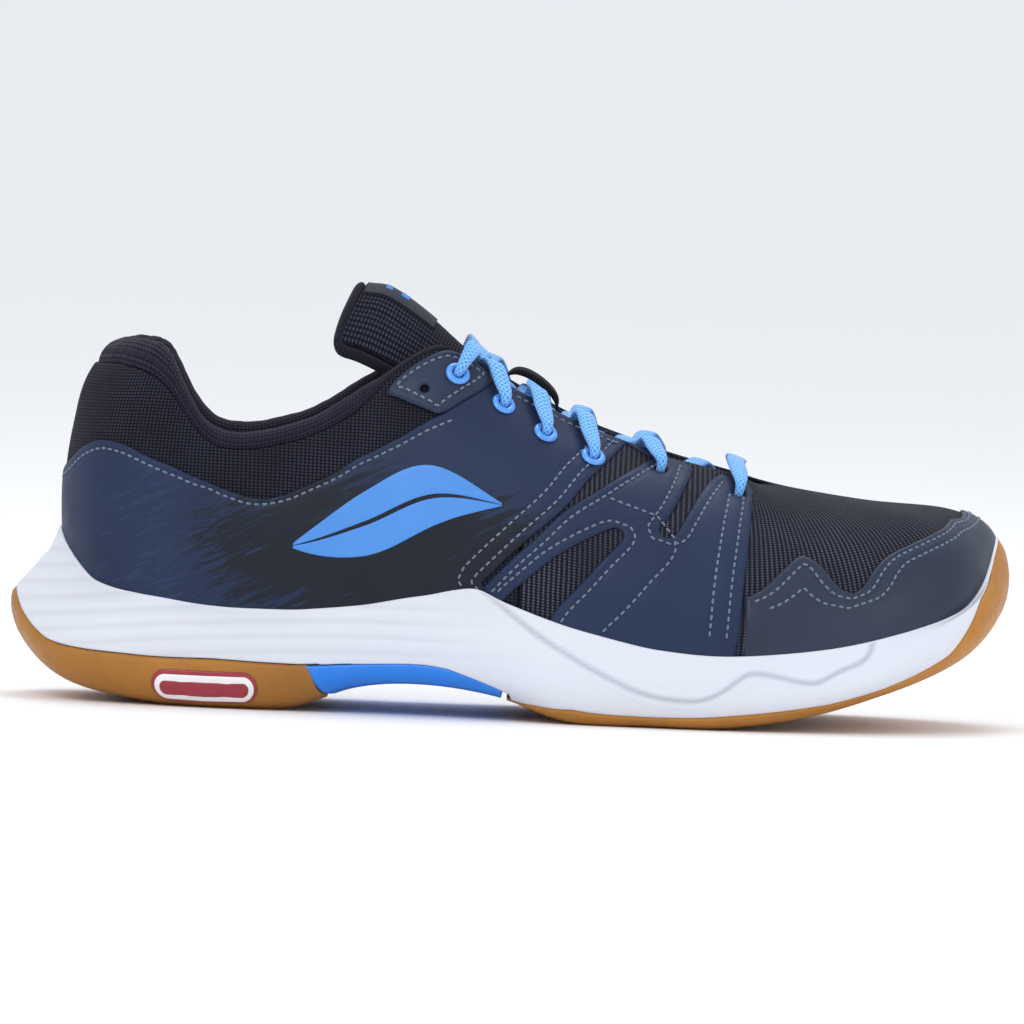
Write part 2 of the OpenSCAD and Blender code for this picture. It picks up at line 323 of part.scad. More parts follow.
// four-cornered reinforcement at the top of the lacing
module tab(s) {
  c=[[5.3,5.35],[6.1,4.6],[6.68,5.5],[6.1,5.85]];
  q=function(a,b) (1-a)*(1-b)*c[0]+a*(1-b)*c[1]+a*b*c[2]+(1-a)*b*c[3];
  d0=over_gap+over_t+0.15; d1=d0+tab_t;
  G=function(d) [for(i=[0:5]) [for(j=[0:5]) let(p=q(i/5,j/5)) O(p[0],p[1],d)]];
  H=function(d) [for(i=[5:-1:0]) [for(j=[0:5]) let(p=q(i/5,j/5)) O(28-p[0],p[1],d)]];
  if(s==0) solid(G(d1),G(d0)); else solid(H(d1),H(d0));
}
module lateral_eyestay_tab() color([0.24,0.28,0.40]) place() difference() { tab(0); bores(0,0,eyelet_bore,9,true,[0]); }
module medial_eyestay_tab() color([0.24,0.28,0.40]) place() difference() { tab(1); bores(0,0,eyelet_bore,9,true,[1]); }
// printed leaf on each quarter
module leaf(s) {
  d0=over_gap+over_t+0.25; d1=d0+0.25;
  P=function(t,j,d) let(h=0.75*sin(180*pow(t,0.85)),u=3.95+t*3.05,v=2.45+0.8*t+j*2*max(0.03,h)) O(s==0?u:28-u,v,d);
  ts=[0.02,0.1,0.18,0.344,0.508,0.672,0.836,0.92,0.98];
  G=function(d) [for(t=ts) [for(j=[-0.5,0,0.5]) P(t,j,d)]];
  if(s==0) solid(G(d1),G(d0)); else solid(rev(G(d1)),rev(G(d0)));
}
module lateral_print() color([0.27,0.57,0.88]) place() leaf(0);
module medial_print() color([0.27,0.57,0.88]) place() leaf(1);

// ---------- lacing ----------
module eyelet_rings() color([0.36,0.62,0.94]) place()
  for(s=[0,1],i=[0:3]) { u=s==0?HL[i][0]:28-HL[i][0]; v=HL[i][1]; p=S(u,v); n=N(u,v);
    z0=over_gap+over_t+(i==0?0.3+tab_t:0.12);
    translate(p) rotate([0,acos(n.z),atan2(n.y,n.x)]) translate([0,0,z0]) union() {
      rotate_extrude($fn=32) polygon([[eyelet_bore/2-0.45,0],[eyelet_od/2,0],[eyelet_od/2,0.35],[eyelet_od/2-0.7,0.9],[eyelet_bore/2-0.1,0.9],[eyelet_bore/2-0.45,0.55]]);
      translate([0,0,-z0-mesh_t-1.5]) difference() { cylinder(h=z0+mesh_t+1.7,d=eyelet_bore-0.1,$fn=28); translate([0,0,-1]) cylinder(h=z0+mesh_t+5,d=eyelet_bore-0.9,$fn=28); }
    }
  }
// tongue centre line: x, z, half width, set-back and drop of the side edges, thickness
TC = [[222,70.5,14,0,-3,3.5],[200,76.5,16,0,-5,4.5],[178,82.5,18,0,-7,5.5],[160,90,19,-1,-9,6.5],[146,99.5,19.5,-2,-12,7.5],
  [134,109.5,19.5,-4,-15,8.5],[122,119.5,19.5,-6,-18,9],[111.5,126.3,19.5,-8,-19,9],[104.5,127.4,19,-9,-18,7]];
function tk(t) = cr4(TC,t);
function T(t,q) = let(c=tk(t)) [(c[0]+c[3]*q*q)*sx,c[2]*q*sy+cy,(c[1]+c[4]*q*q)*sz];
function TN(t,q) = let(e=0.03) unit(cross(T(t,q+e)-T(t,q-e),T(t+e,q)-T(t-e,q)));
function TO(t,q,d) = T(t,q)+d*TN(t,q);
function tth(t,q) = tk(t)[5]*(1-0.45*q*q*q*q);
function tx(x) = lookup(x,[[104.5,8],[111.5,7],[122,6],[134,5],[146,4],[160,3],[178,2],[200,1],[222,0]]);   // place along the tongue at length x

// strands of the lace: [point, upward direction, width, thickness]
function side(u,s) = s==0 ? u : 28-u;
und = -3.4;   // depth of the lace under a flap
function hole_in(i,s,dir) = let(u=side(HL[i][0],s),v=HL[i][1],n=N(u,v),d=unit(S(u,v+0.2)-S(u,v)),up=i==0?4.4:3.3)
  dir>0 ? [[O(u,v,-3.5),d*0.6-n*0.4,3.0,1.4],[O(u,v,-1),d,2.5,1.9],[O(u,v,up),n-d*0.5,3.0,1.7]]
        : [[O(u,v,up),n-d*0.5,3.0,1.7],[O(u,v,-1),d*-1,2.5,1.9],[O(u,v,-3.5),n*-0.4-d*0.6,3.0,1.4]];
// across the tongue from side s, between columns a and b; top strands lie over the others
function cross_tongue(s,a,b,top) = let(x0=S(side(a,s),6).x/sx,x1=S(side(b,1-s),6).x/sx,g=s==0?-1:1,e=top?2.3:1.7)
  [for(k=[-1,-0.5,0,0.5,1]) let(t=tx((x0+x1)/2+(x1-x0)*k*0.22),q=-g*k*0.42)
    [TO(t,q,k==0?(top?3.3:1.45):abs(k)==0.5?(top?3.0:1.5):e),TN(t,q),lace_w,lace_t]];
function over(i,s,j,top) = concat(
  [ [O(side(HL[i][0]-0.1,s),(HL[i][1]+6)/2,3.4),N(side(HL[i][0],s),5.6),lace_w,lace_t],
    [O(side(HL[i][0]-0.2,s),6.1,2.6),N(side(HL[i][0],s),6),lace_w,lace_t] ],
  cross_tongue(s,HL[i][0]-0.2,HL[j][0]+0.15,top),
  [ [O(side(HL[j][0]+0.12,1-s),6.0,und),N(side(HL[j][0],1-s),6),lace_w,lace_t],
    [O(side(HL[j][0]+0.04,1-s),(HL[j][1]+6)/2,und),N(side(HL[j][0],1-s),5.5),lace_w*0.8,lace_t] ]);
function strand(s) = concat(
  hole_in(5,s,-1),
  [ [O(side(9.88,s),5.55,und),N(side(9.9,s),5.5),lace_w*0.8,lace_t] ],
  cross_tongue(s,9.75,9.25,s==1),
  [ [O(side(9.15,1-s),5.75,und),N(side(9.1,1-s),5.5),lace_w*0.8,lace_t] ],
  hole_in(4,1-s,1), over(4,1-s,3,s==0),
  hole_in(3,s,1), over(3,s,2,s==1),
  hole_in(2,1-s,1), over(2,1-s,1,s==0),
  hole_in(1,s,1),
  [ [O(side(6.8,s),5.68,3.4),N(side(6.8,s),5.6),lace_w,lace_t],
    [O(side(6.68,s),6.1,2.7),N(side(6.7,s),6),lace_w,lace_t] ],
  cross_tongue(s,6.6,6.4,s==1),
  [ [O(side(6.38,1-s),6.1,3.6),N(side(6.4,1-s),6),lace_w,lace_t] ],
  hole_in(0,1-s,-1),
  [ [O(side(6.22,1-s),4.9,-3.5),N(side(6.2,1-s),4.9),lace_w*0.6,lace_t],
    [O(side(6.1,1-s),4.0,-4.0),N(side(6.1,1-s),4.0),lace_w*0.5,lace_t] ]);
function bar() = [ [O(17.95,5.65,3.4),N(17.95,5.6),lace_w,lace_t],[O(17.98,6.1,2.8),N(17.98,6),lace_w,lace_t],
  [[217.5*sx,cy,79*sz],[0.2,0,1],lace_w,lace_t],
  [O(10.02,6.1,2.8),N(10.02,6),lace_w,lace_t],[O(10.05,5.65,3.4),N(10.05,5.6),lace_w,lace_t] ];
lace_path = concat(rev(strand(1)),bar(),strand(0));
module tube(P,n=8) {
  m=len(P)-1;
  tg=function(i) unit(P[min(m,i+1)][0]-P[max(0,i-1)][0]);
  ring=function(i) let(t=tg(i),b=unit(cross(t,P[i][1])),c=cross(b,t)) [for(j=[0:n-1]) P[i][0]+b*P[i][2]/2*cos(j*360/n)+c*P[i][3]/2*sin(j*360/n)];
  polyhedron(points=[for(i=[0:m],p=ring(i)) p],faces=concat(
    [for(i=[0:m-1],j=[0:n-1],t=tri([i*n+j,(i+1)*n+j,(i+1)*n+(j+1)%n,i*n+(j+1)%n])) t],
    [for(j=[1:n-2]) [0,j,j+1]],[for(j=[1:n-2]) [m*n,m*n+j+1,m*n+j]]),convexity=10);
}
module lace() color([0.42,0.68,0.95]) place() tube(lace_path);
module lace_aglets() color([0.80,0.86,0.94]) place() for(s=[0,1]) {
  a=O(side(6.1,1-s),3.97,-4.0); b=O(side(6.0,1-s),2.8,-4.0); d=unit(b-a);
  translate(a) rotate([0,acos(d.z),atan2(d.y,d.x)]) translate([0,0,0.3]) cylinder(h=aglet_l,d=3,$fn=24);
}

// ---------- tongue ----------
module tongue_layer(t0,t1,nt,qm,f0,f1,g0=0,g1=0) {
  // g0, g1: the ends draw back towards the side edges, which leaves a wedge to bend in
  qs=steps(-qm,qm,8); ts=function(q) steps(t0+g0*q*q,t1-g1*q*q,nt);
  solid([for(q=qs) [for(t=ts(q)) TO(t,q,f0(t,q))]],[for(q=qs) [for(t=ts(q)) TO(t,q,f1(t,q))]]);
}
tsplit=5.5; bend=0.055;
module tongue_mesh() color([0.15,0.14,0.20]) place() tongue_layer(0.05,tsplit-0.04,9,1,function(t,q) 0,function(t,q) -0.9,0,bend);
module tongue_foam() color([0.85,0.80,0.45]) place() tongue_layer(0.1,tsplit-0.04,9,0.97,function(t,q) -0.98,function(t,q) -tth(t,q)+0.98,0,bend);
module tongue_lining() color([0.11,0.11,0.15]) place() tongue_layer(0.05,tsplit-0.04,9,1,function(t,q) -tth(t,q)+0.9,function(t,q) -tth(t,q),0,bend);
module lace_keeper_loop() color([0.08,0.08,0.10]) place() {
  // webbing bridge over the lace crossing, stitched to the tongue in front of it and behind it
  P=function(q,a,h) TO(3.5-0.56*cos(a),q,0.15+h+6.8*pow(max(0,sin(a)),0.6));
  as=steps(0,180,14);
  solid([for(q=[-0.24,0.24]) [for(a=as) P(q,a,1.1)]],[for(q=[-0.24,0.24]) [for(a=as) P(q,a,0)]]);
}
module tongue_top_mesh() color([0.15,0.14,0.20]) place() tongue_layer(tsplit+0.04,7.95,6,0.94,function(t,q) 0,function(t,q) -0.9,bend);
module tongue_top_foam() color([0.85,0.80,0.45]) place() tongue_layer(tsplit+0.04,7.9,6,0.92,function(t,q) -0.98,function(t,q) -tth(t,q)+0.98,bend);
module tongue_top_lining() color([0.11,0.11,0.15]) place() tongue_layer(tsplit+0.04,7.95,6,0.94,function(t,q) -tth(t,q)+0.9,function(t,q) -tth(t,q),bend);
module tongue_binding() color([0.10,0.10,0.14]) place() {
  E=concat([for(t=[5.62,5.9,6.3,6.7,7.1,7.5,7.8]) [t,-1]],[[8.05,-0.92],[8.2,-0.7],[8.25,-0.35],[8.25,0],[8.25,0.35],[8.2,0.7],[8.05,0.92]],[for(t=[7.8,7.5,7.1,6.7,6.3,5.9,5.62]) [t,1]]);
  tube([for(e=E) let(h=tth(e[0],e[1])) [TO(e[0],e[1],-h/2),TN(e[0],e[1]),3.0,h+0.8]],10);
}
module tongue_label() color([0.25,0.26,0.30]) place() tongue_layer(5.62,7.8,6,0.36,function(t,q) 0.9,function(t,q) 0.12);

heel_outsole();
forefoot_outsole();
midfoot_shank();
midsole();
outsole_badge();
strobel_board();
sockliner_foam();
sockliner_cloth();
heel_counter();
toe_puff();
vamp_mesh();
collar_mesh();
upper_lining();
collar_foam();
collar_roll();
toe_cap();
lateral_quarter();
medial_quarter();
lateral_fingers();
medial_fingers();
lateral_eyestay_tab();
medial_eyestay_tab();
lateral_print();
medial_print();
eyelet_rings();
lace();
lace_aglets();
tongue_mesh();
tongue_foam();
tongue_lining();
lace_keeper_loop();
tongue_top_mesh();
tongue_top_foam();
tongue_top_lining();
tongue_binding();
tongue_label();
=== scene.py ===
import bpy
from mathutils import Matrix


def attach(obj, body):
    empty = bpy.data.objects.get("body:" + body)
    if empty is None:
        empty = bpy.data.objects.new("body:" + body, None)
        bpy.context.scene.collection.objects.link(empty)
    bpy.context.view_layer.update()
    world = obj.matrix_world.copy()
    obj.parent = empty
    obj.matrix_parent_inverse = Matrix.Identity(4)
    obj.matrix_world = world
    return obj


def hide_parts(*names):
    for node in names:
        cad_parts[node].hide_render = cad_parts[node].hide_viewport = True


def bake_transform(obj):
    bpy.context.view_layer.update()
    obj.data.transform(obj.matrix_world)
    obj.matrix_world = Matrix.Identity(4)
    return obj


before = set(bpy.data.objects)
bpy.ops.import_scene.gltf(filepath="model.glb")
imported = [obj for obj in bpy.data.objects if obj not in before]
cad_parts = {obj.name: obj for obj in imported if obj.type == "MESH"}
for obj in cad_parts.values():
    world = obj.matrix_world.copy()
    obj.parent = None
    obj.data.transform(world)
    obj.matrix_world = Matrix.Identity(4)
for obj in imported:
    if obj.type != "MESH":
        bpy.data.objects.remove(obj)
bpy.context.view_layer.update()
import bpy, bmesh, math
import numpy as np
from mathutils import Vector, Matrix
from mathutils.geometry import delaunay_2d_cdt

# The frame's origin in the numbers below, which run from the heel (x = 0) to the toe, in mm.
CX, CY = 150.55, -2.15
MESH_T, LINING_T, OVER_GAP, OVER_T, TAB_T, COLLAR_PAD, ROLL_T = 0.9, 1.1, 0.12, 0.85, 0.8, 4.5, 7.5
LACE_W, LACE_T, BORE, RING_OD = 5.6, 1.7, 4.4, 7.6
UP = np.array([
[[24,0,22],[17,0,37],[15.3,0,52.5],[15.1,0,68],[16.9,0,82.5],[20.3,0,96.5],[29,0,110]],
[[31,-18.5,22],[25.5,-21,37],[23.8,-21.9,52],[23.4,-21.5,67],[24.8,-20,82],[28.5,-17.5,97],[37,-14,111]],
[[43,-28.5,22],[41.3,-31.6,36],[40.5,-32.8,50],[40.3,-32.3,64],[41,-30.5,78],[42.8,-27.5,92],[46,-22.5,106.5]],
[[62,-32,21.8],[61.5,-34.8,32.5],[61,-35.8,43.5],[60.5,-35.3,54.5],[60.3,-33.6,65],[60.3,-31.3,75.5],[60.5,-27.5,85.3]],
[[85,-34,21.5],[85,-36.8,33],[85,-38,44.5],[85,-37.3,56],[85,-35.3,67],[85,-32.6,78],[85,-28.8,88]],
[[106,-36,21],[106,-39,34],[106,-40.2,47.5],[106,-39.3,61],[106,-36.8,74.5],[106,-33,88],[106,-27.5,100.5]],
[[126,-39,20.5],[126,-42.2,35.5],[126,-43,51],[126,-41.5,66.5],[126,-37.8,82],[126,-31.8,97.5],[127,-23.5,110.5]],
[[148,-43,19.5],[148,-46,33],[148,-46.3,47],[148,-44.3,61],[148,-39.8,75],[148,-31.5,88.5],[148.5,-19,99.5]],
[[170,-47.5,17],[170,-50.2,29],[170,-50,42],[170,-47.2,54.5],[170,-41.5,67],[170,-31,79.5],[170.5,-16.5,88.8]],
[[194,-50,14],[194,-52.6,25],[194,-52,37.5],[194,-48.3,50],[194,-41,62],[194,-29.5,73],[194,-15,81]],
[[216,-50.2,12.5],[217,-52.8,23],[217.5,-52,34.5],[217.5,-48,46.5],[217.5,-40,58],[217,-28,68.5],[215.5,-13,76]],
[[242,-45.5,16],[246,-48,25.5],[246.5,-47.3,36],[245,-43,47.5],[241,-35,58.5],[234.5,-23.5,67],[222,-8.5,73]],
[[264,-35.5,21],[269,-37.3,30.5],[269.5,-36.3,40.5],[267,-32.5,51],[260.5,-26,60.5],[247.5,-16.5,67],[224.5,-4.5,72.5]],
[[280,-19.5,27],[286,-21,36],[287.2,-20.2,46],[284,-18,56],[274.5,-14,64],[254,-8,67.8],[225.5,-1.5,72]],
[[288,8,32],[295,8.5,41],[297,8.5,51],[293.5,8.2,60.5],[281.5,7.2,66.2],[256.5,5,68],[226,1,72]],
[[284,25,29],[290.5,27,38],[291.8,26.5,48],[288,24.5,57.5],[276.5,20,64.5],[254,13,67.8],[225.5,4,72.2]],
[[271,37.5,22.5],[276.5,39.8,31.5],[277.2,39,41.5],[274,35.5,52],[265,29.5,61],[248.5,19.5,67],[224.5,7,72.8]],
[[247,44.3,17],[250,46.8,26],[250.5,46.3,36.5],[248.5,42.8,47.5],[243.5,36,57.5],[235.5,25,66.5],[222,10.5,73.5]],
[[216,46.2,13],[217,49,23],[217.5,48.8,34],[217.5,45.5,45.5],[217.5,38.5,57],[217,27.8,67.5],[215.5,14,75.5]],
[[194,42.5,14.5],[194,45.3,26],[194,45.5,38],[194,43,50],[194,37.5,62],[194,28.5,73],[194,15.8,81]],
[[170,36,17],[170,38.8,29.5],[170,40,42.5],[170,39,55],[170,35.5,67.5],[170,28.5,79.5],[170.5,17,88.8]],
[[148,31.5,19.5],[148,34,33],[148,35.8,47],[148,36,61],[148,34,75],[148,28.5,88.5],[148.5,19.5,99.5]],
[[126,30.5,21],[126,33,36],[126,35,51],[126,35.5,66.5],[126,34,82],[126,30,97.5],[127,23.8,110.5]],
[[106,31.5,21.5],[106,34,34.5],[106,35.5,48],[106,35.3,61.5],[106,34,75],[106,31.3,88.5],[106,27,101]],
[[85,32.3,21.8],[85,34.8,33.5],[85,36,45],[85,35.5,56.5],[85,34,67.5],[85,31.8,78.5],[85,28.3,88.5]],
[[62,31.2,22],[61.5,33.8,33],[61,34.8,44],[60.5,34.3,55],[60.3,32.8,65.5],[60.3,30.6,76],[60.5,27,86]],
[[43,28,22],[41.3,30.8,36.5],[40.5,31.8,50.5],[40.3,31.3,64.5],[41,29.7,78.5],[42.8,26.8,92.5],[46,22,106.5]],
[[31,18,22],[25.5,20.5,37],[23.8,21.2,52.5],[23.4,20.8,67.5],[24.8,19.5,82.5],[28.5,17,97.5],[37,13.5,111]]], float)
SO = np.array([
[[30,0,1.8],[13,0,8],[2.8,0,19],[0.3,0,30],[5.5,0,37.5],[11.2,0,44.5]],
[[36,-17,1.2],[22,-23.5,5],[14.2,-26.8,11.5],[12.2,-27.6,18.5],[14.5,-26.6,25],[19,-24.4,31]],
[[46,-26.5,0.4],[41.5,-32.8,3],[38.8,-36.8,8.5],[38.2,-38,15.3],[38.8,-37.2,21.5],[40,-35.2,27.5]],
[[62,-31,0],[62,-37,2.2],[62,-40.6,7.8],[62,-41.8,15],[62,-41,21],[61.8,-38.8,26]],
[[85,-32,0.9],[85,-38,3.5],[85,-41.6,8.8],[85,-42.8,15],[85,-42,21],[85,-40,26]],
[[106,-34,8],[106,-39,9],[106,-42.3,12],[106,-43.6,16.2],[106,-43.3,22],[106,-41.8,27.5]],
[[126,-37,9.6],[126,-42,10.4],[126,-45.2,13],[126,-46.6,17],[126,-46.6,23.5],[126,-45.2,30]],
[[148,-41,7],[148,-46.5,8],[148,-50,11],[148,-51.3,15.5],[148,-51,22],[148,-49.2,29]],
[[170,-44,0.2],[170,-50,1.5],[170,-53.8,5],[170,-55.3,10],[170,-55,16.5],[170,-53.3,23]],
[[194,-46.5,0],[194,-52.2,1.2],[194,-55.6,4],[194,-57,8.5],[194,-56.7,13.5],[194,-55.4,18.5]],
[[215,-46,0.3],[216.5,-52,1.6],[217,-55.5,4.5],[217.3,-57,8.7],[217.3,-56.7,13.2],[217.2,-55.4,17.8]],
[[238,-40,3.8],[243.5,-46,5.8],[247,-49.8,9],[248.6,-51.2,13],[248.4,-50.9,17.2],[247.4,-49.8,21.3]],
[[254,-28.5,8.5],[263,-34.8,11.5],[269.5,-38.8,15.2],[272.8,-40.6,19.5],[273,-40.6,23.8],[271.8,-39.4,27.8]],
[[264,-13,11.2],[277,-18.5,16.5],[286.5,-22,22.5],[291.5,-23.8,29],[292,-23.8,34.5],[290.4,-22.8,39]],
[[268,7,12.5],[282,8,18.5],[293,8.7,26.5],[299.2,9,36],[300.8,9,45],[299.6,9,52.5]],
[[266,22,12],[279.5,25.5,17.2],[289.5,28.6,23.5],[295.3,30.3,30.5],[296.2,30.3,36.5],[294.8,29.3,41.5]],
[[257,33,9.2],[267.5,38,12.5],[275.5,41.6,16.5],[279.8,43.4,21],[280.2,43.4,25.5],[278.8,42.2,29.7]],
[[240,39.5,4.3],[246,45.5,6.5],[250.3,49.2,9.8],[252.3,50.6,14],[252.2,50.3,18],[251.3,49.2,22]],
[[215,42.5,0.3],[216.5,48,1.6],[217,51.6,4.5],[217.3,53,8.7],[217.3,52.7,13.2],[217.2,51.4,17.8]],
[[194,38.5,0],[194,44,1.2],[194,47.6,4.2],[194,49.2,9],[194,49,14.2],[194,47.8,19.5]],
[[170,32,0.2],[170,37,1.5],[170,40.6,5],[170,42.3,10],[170,42.2,16],[170,41.2,22.3]],
[[148,27,7],[148,31.5,8],[148,34.8,11],[148,36.3,15.5],[148,36.8,22],[148,36.2,28.5]],
[[126,25,9.6],[126,29.6,10.4],[126,33,13],[126,34.6,17.2],[126,35.2,23.5],[126,34.9,30]],
[[106,26,8],[106,30.8,9],[106,34.2,12],[106,35.8,16.4],[106,36.3,22],[106,36,28]],
[[85,28,0.9],[85,33.6,3.5],[85,37,8.8],[85,38.4,15],[85,38.4,20.8],[85,37.3,26]],
[[62,29,0],[62,35,2.2],[62,38.6,7.8],[62,40,15],[62,39.4,20.8],[61.8,37.2,26]],
[[46,25.5,0.4],[41.5,31.5,3],[38.8,35.3,8.5],[38.2,36.5,15.3],[38.8,35.9,21.5],[40,34.2,27.5]],
[[36,16.5,1.2],[22,22.5,5],[14.2,25.8,11.5],[12.2,26.6,18.5],[14.5,25.7,25],[19,23.6,31]]], float)
BITE = np.array([[0,1.97],[0.5,1.5],[1,0.97],[1.5,0.83],[2,0.78],[3,0.83],[4,0.77],[5,0.9],[6,1.06],[6.68,1.38],[7,1.2],[7.5,1.07],[8,0.97],[9,0.87],[10,0.93],[11,0.98],[12,1.03],[12.6,1.08],[13,1.18],[13.3,1.55],[13.6,2.3],[14,2.7],[14.4,2.3],[14.7,1.55],[15,1.18],[15.4,1.08],[16,1.04],[17,1],[18,0.95],[19,0.9],[20,0.95],[20.5,1.05],[21,1.18],[21.3,1.3],[22,1.05],[23,0.93],[24,0.83],[25,0.84],[26,0.8],[26.5,0.84],[27,0.97],[27.5,1.5],[28,1.97]], float)

# ------------------------------------------------------------------ surfaces
def crw(t):
    t2 = t * t; t3 = t2 * t
    return np.stack([(-t3 + 2*t2 - t) / 2, (3*t3 - 5*t2 + 2) / 2, (-3*t3 + 4*t2 + t) / 2, (t3 - t2) / 2], -1)

def ev(net, u, v):
    u, v = np.broadcast_arrays(np.asarray(u, float), np.asarray(v, float))
    n, m, _ = net.shape
    ext = np.concatenate([2*net[:, :1] - net[:, 1:2], net, 2*net[:, -1:] - net[:, -2:-1]], 1)
    iu = np.floor(u).astype(int); fu = u - iu
    iv = np.clip(np.floor(v).astype(int), 0, m - 2); fv = v - iv
    wu, wv = crw(fu), crw(fv)
    out = np.zeros(u.shape + (3,))
    for a in range(4):
        for b in range(4):
            out += (wu[..., a] * wv[..., b])[..., None] * ext[(iu + a - 1) % n, iv + b]
    return out

def S(u, v): return ev(UP, u, v)

def unit(a): return a / np.maximum(np.linalg.norm(a, axis=-1, keepdims=True), 1e-12)

def N(u, v, e=0.03):
    u, v = np.broadcast_arrays(np.asarray(u, float), np.asarray(v, float))
    return unit(np.cross(S(u + e, v) - S(u - e, v), S(u, v + e) - S(u, v - e)))

def O(u, v, d):
    u, v = np.broadcast_arrays(np.asarray(u, float), np.asarray(v, float))
    return S(u, v) + np.asarray(d, float)[..., None] * N(u, v) if np.ndim(d) else S(u, v) + d * N(u, v)

def bite(u): return np.interp(np.mod(u, 28), BITE[:, 0], BITE[:, 1])

# the lip of the midsole follows the bite line, smoothed a little so that it has no kinks
_bu = np.arange(0, 28, 0.05)
_bk = np.exp(-(np.arange(-8, 9) * 0.05 / 0.14) ** 2); _bk /= _bk.sum()
_bv = np.convolve(np.concatenate([bite(_bu[-8:]), bite(_bu), bite(_bu[:8])]), _bk, "valid")
def bites(u): return np.interp(np.mod(u, 28), np.append(_bu, 28), np.append(_bv, _bv[0]))

def W(u, w):
    u, w = np.broadcast_arrays(np.asarray(u, float), np.asarray(w, float))
    iu = np.floor(u).astype(int); wu = crw(u - iu)
    rows = sum(wu[..., a, None, None] * SO[(iu + a - 1) % 28] for a in range(4))
    rows = np.concatenate([rows, O(u, bites(u), 1.6)[..., None, :]], -2)
    ext = np.concatenate([2*rows[..., :1, :] - rows[..., 1:2, :], rows, 2*rows[..., -1:, :] - rows[..., -2:-1, :]], -2)
    iv = np.clip(np.floor(w).astype(int), 0, 5); wv = crw(w - iv)
    out = np.zeros(u.shape + (3,))
    for b in range(4):
        out += wv[..., b, None] * np.take_along_axis(ext, (iv + b)[..., None, None].repeat(3, -1), -2)[..., 0, :]
    return out

def WN(u, w, e=0.03):
    u, w = np.broadcast_arrays(np.asarray(u, float), np.asarray(w, float))
    return unit(np.cross(W(u + e, w) - W(u - e, w), W(u, np.minimum(6, w + e)) - W(u, w - e)))

def sm(a, b, x):
    t = np.clip((np.asarray(x, float) - a) / (b - a), 0, 1); return t * t * (3 - 2*t)
def hk(u): u = np.mod(u, 28); return np.where(u > 14, 28 - u, u)
def dep(u, v):
    h = hk(u)
    return (MESH_T + 0.15 + (1 - sm(3.2, 3.9, h)) * sm(-0.3, 0.2, v) * (1 - sm(3.3, 3.8, v))
            + (1 - sm(2.2, 2.8, np.abs(14 - np.mod(u, 28)))) * (1 - sm(2.9, 3.5, v))
            + (COLLAR_PAD + 0.1) * (1 - sm(4.4, 5.7, h)) * sm(2.4, 4.2, v) * (1 - 0.25 * sm(4.6, 5.3, v)))

def M(P):
    Q = np.array(P, float); Q[..., 0] -= CX; Q[..., 1] -= CY
    return Q / 1000

# --------------------------------------------- picture plane: 1024 px frame to mm, and back to (u, v)
RHO, PXS, ELV = math.radians(2.2), 0.3, math.radians(3.0)
def px2mm(p):
    p = np.asarray(p, float); dx = p[..., 0] - 250; dy = p[..., 1] - 709.5
    return np.stack([PXS*(dx*math.cos(RHO) + dy*math.sin(RHO)) + 73.8, PXS*(dx*math.sin(RHO) - dy*math.cos(RHO))], -1)
def plane(P): return np.stack([P[..., 0], P[..., 2]*math.cos(ELV) + (P[..., 1] + 35)*math.sin(ELV)], -1)
_gu, _gv = np.meshgrid(np.arange(0, 14.01, 0.1), np.arange(0, 6.01, 0.1), indexing="ij")
_gp = plane(S(_gu, _gv))
def inv(px):
    """(u, v) on the lateral side under a point of the 1024 px frame"""
    out = []
    for t in px2mm(px).reshape(-1, 2):
        d = ((_gp - t) ** 2).sum(-1)
        i = np.unravel_index(np.argmin(d), d.shape); q = np.array([_gu[i], _gv[i]])
        for _ in range(4):
            e = 0.01; f0 = plane(S(q[0], q[1]))
            J = np.stack([(plane(S(q[0] + e, q[1])) - f0) / e, (plane(S(q[0], q[1] + e)) - f0) / e], -1)
            if abs(np.linalg.det(J)) < 3: break
            st = np.linalg.solve(J, t - f0); q = q + np.clip(st, -0.3, 0.3); q[0] = np.clip(q[0], -0.2, 14.3); q[1] = np.clip(q[1], 0, 6.1)
        out.append(q)
    return np.array(out)

# ------------------------------------------------------------------ mesh helpers
def grid_faces(n, m, wi=False, wj=False, off=0, flip=False):
    I, J = np.meshgrid(np.arange(n if wi else n - 1), np.arange(m if wj else m - 1), indexing="ij")
    I, J = I.ravel(), J.ravel(); I2, J2 = (I + 1) % n, (J + 1) % m
    q = np.stack([I*m + J, I2*m + J, I2*m + J2, I*m + J2], -1) + off
    return (q[:, ::-1] if flip else q).tolist()

def arc(P, axis):
    d = np.linalg.norm(np.diff(P, axis=axis), axis=-1)
    z = np.zeros_like(np.take(d, [0], axis=axis))
    return np.concatenate([z, np.cumsum(d, axis=axis)], axis=axis)

def grid_uv(P):
    n, m = P.shape[:2]
    a = arc(P, 0)[:, m // 2][:, None] * np.ones((1, m)); b = arc(P, 1)
    return np.stack([a, b], -1)

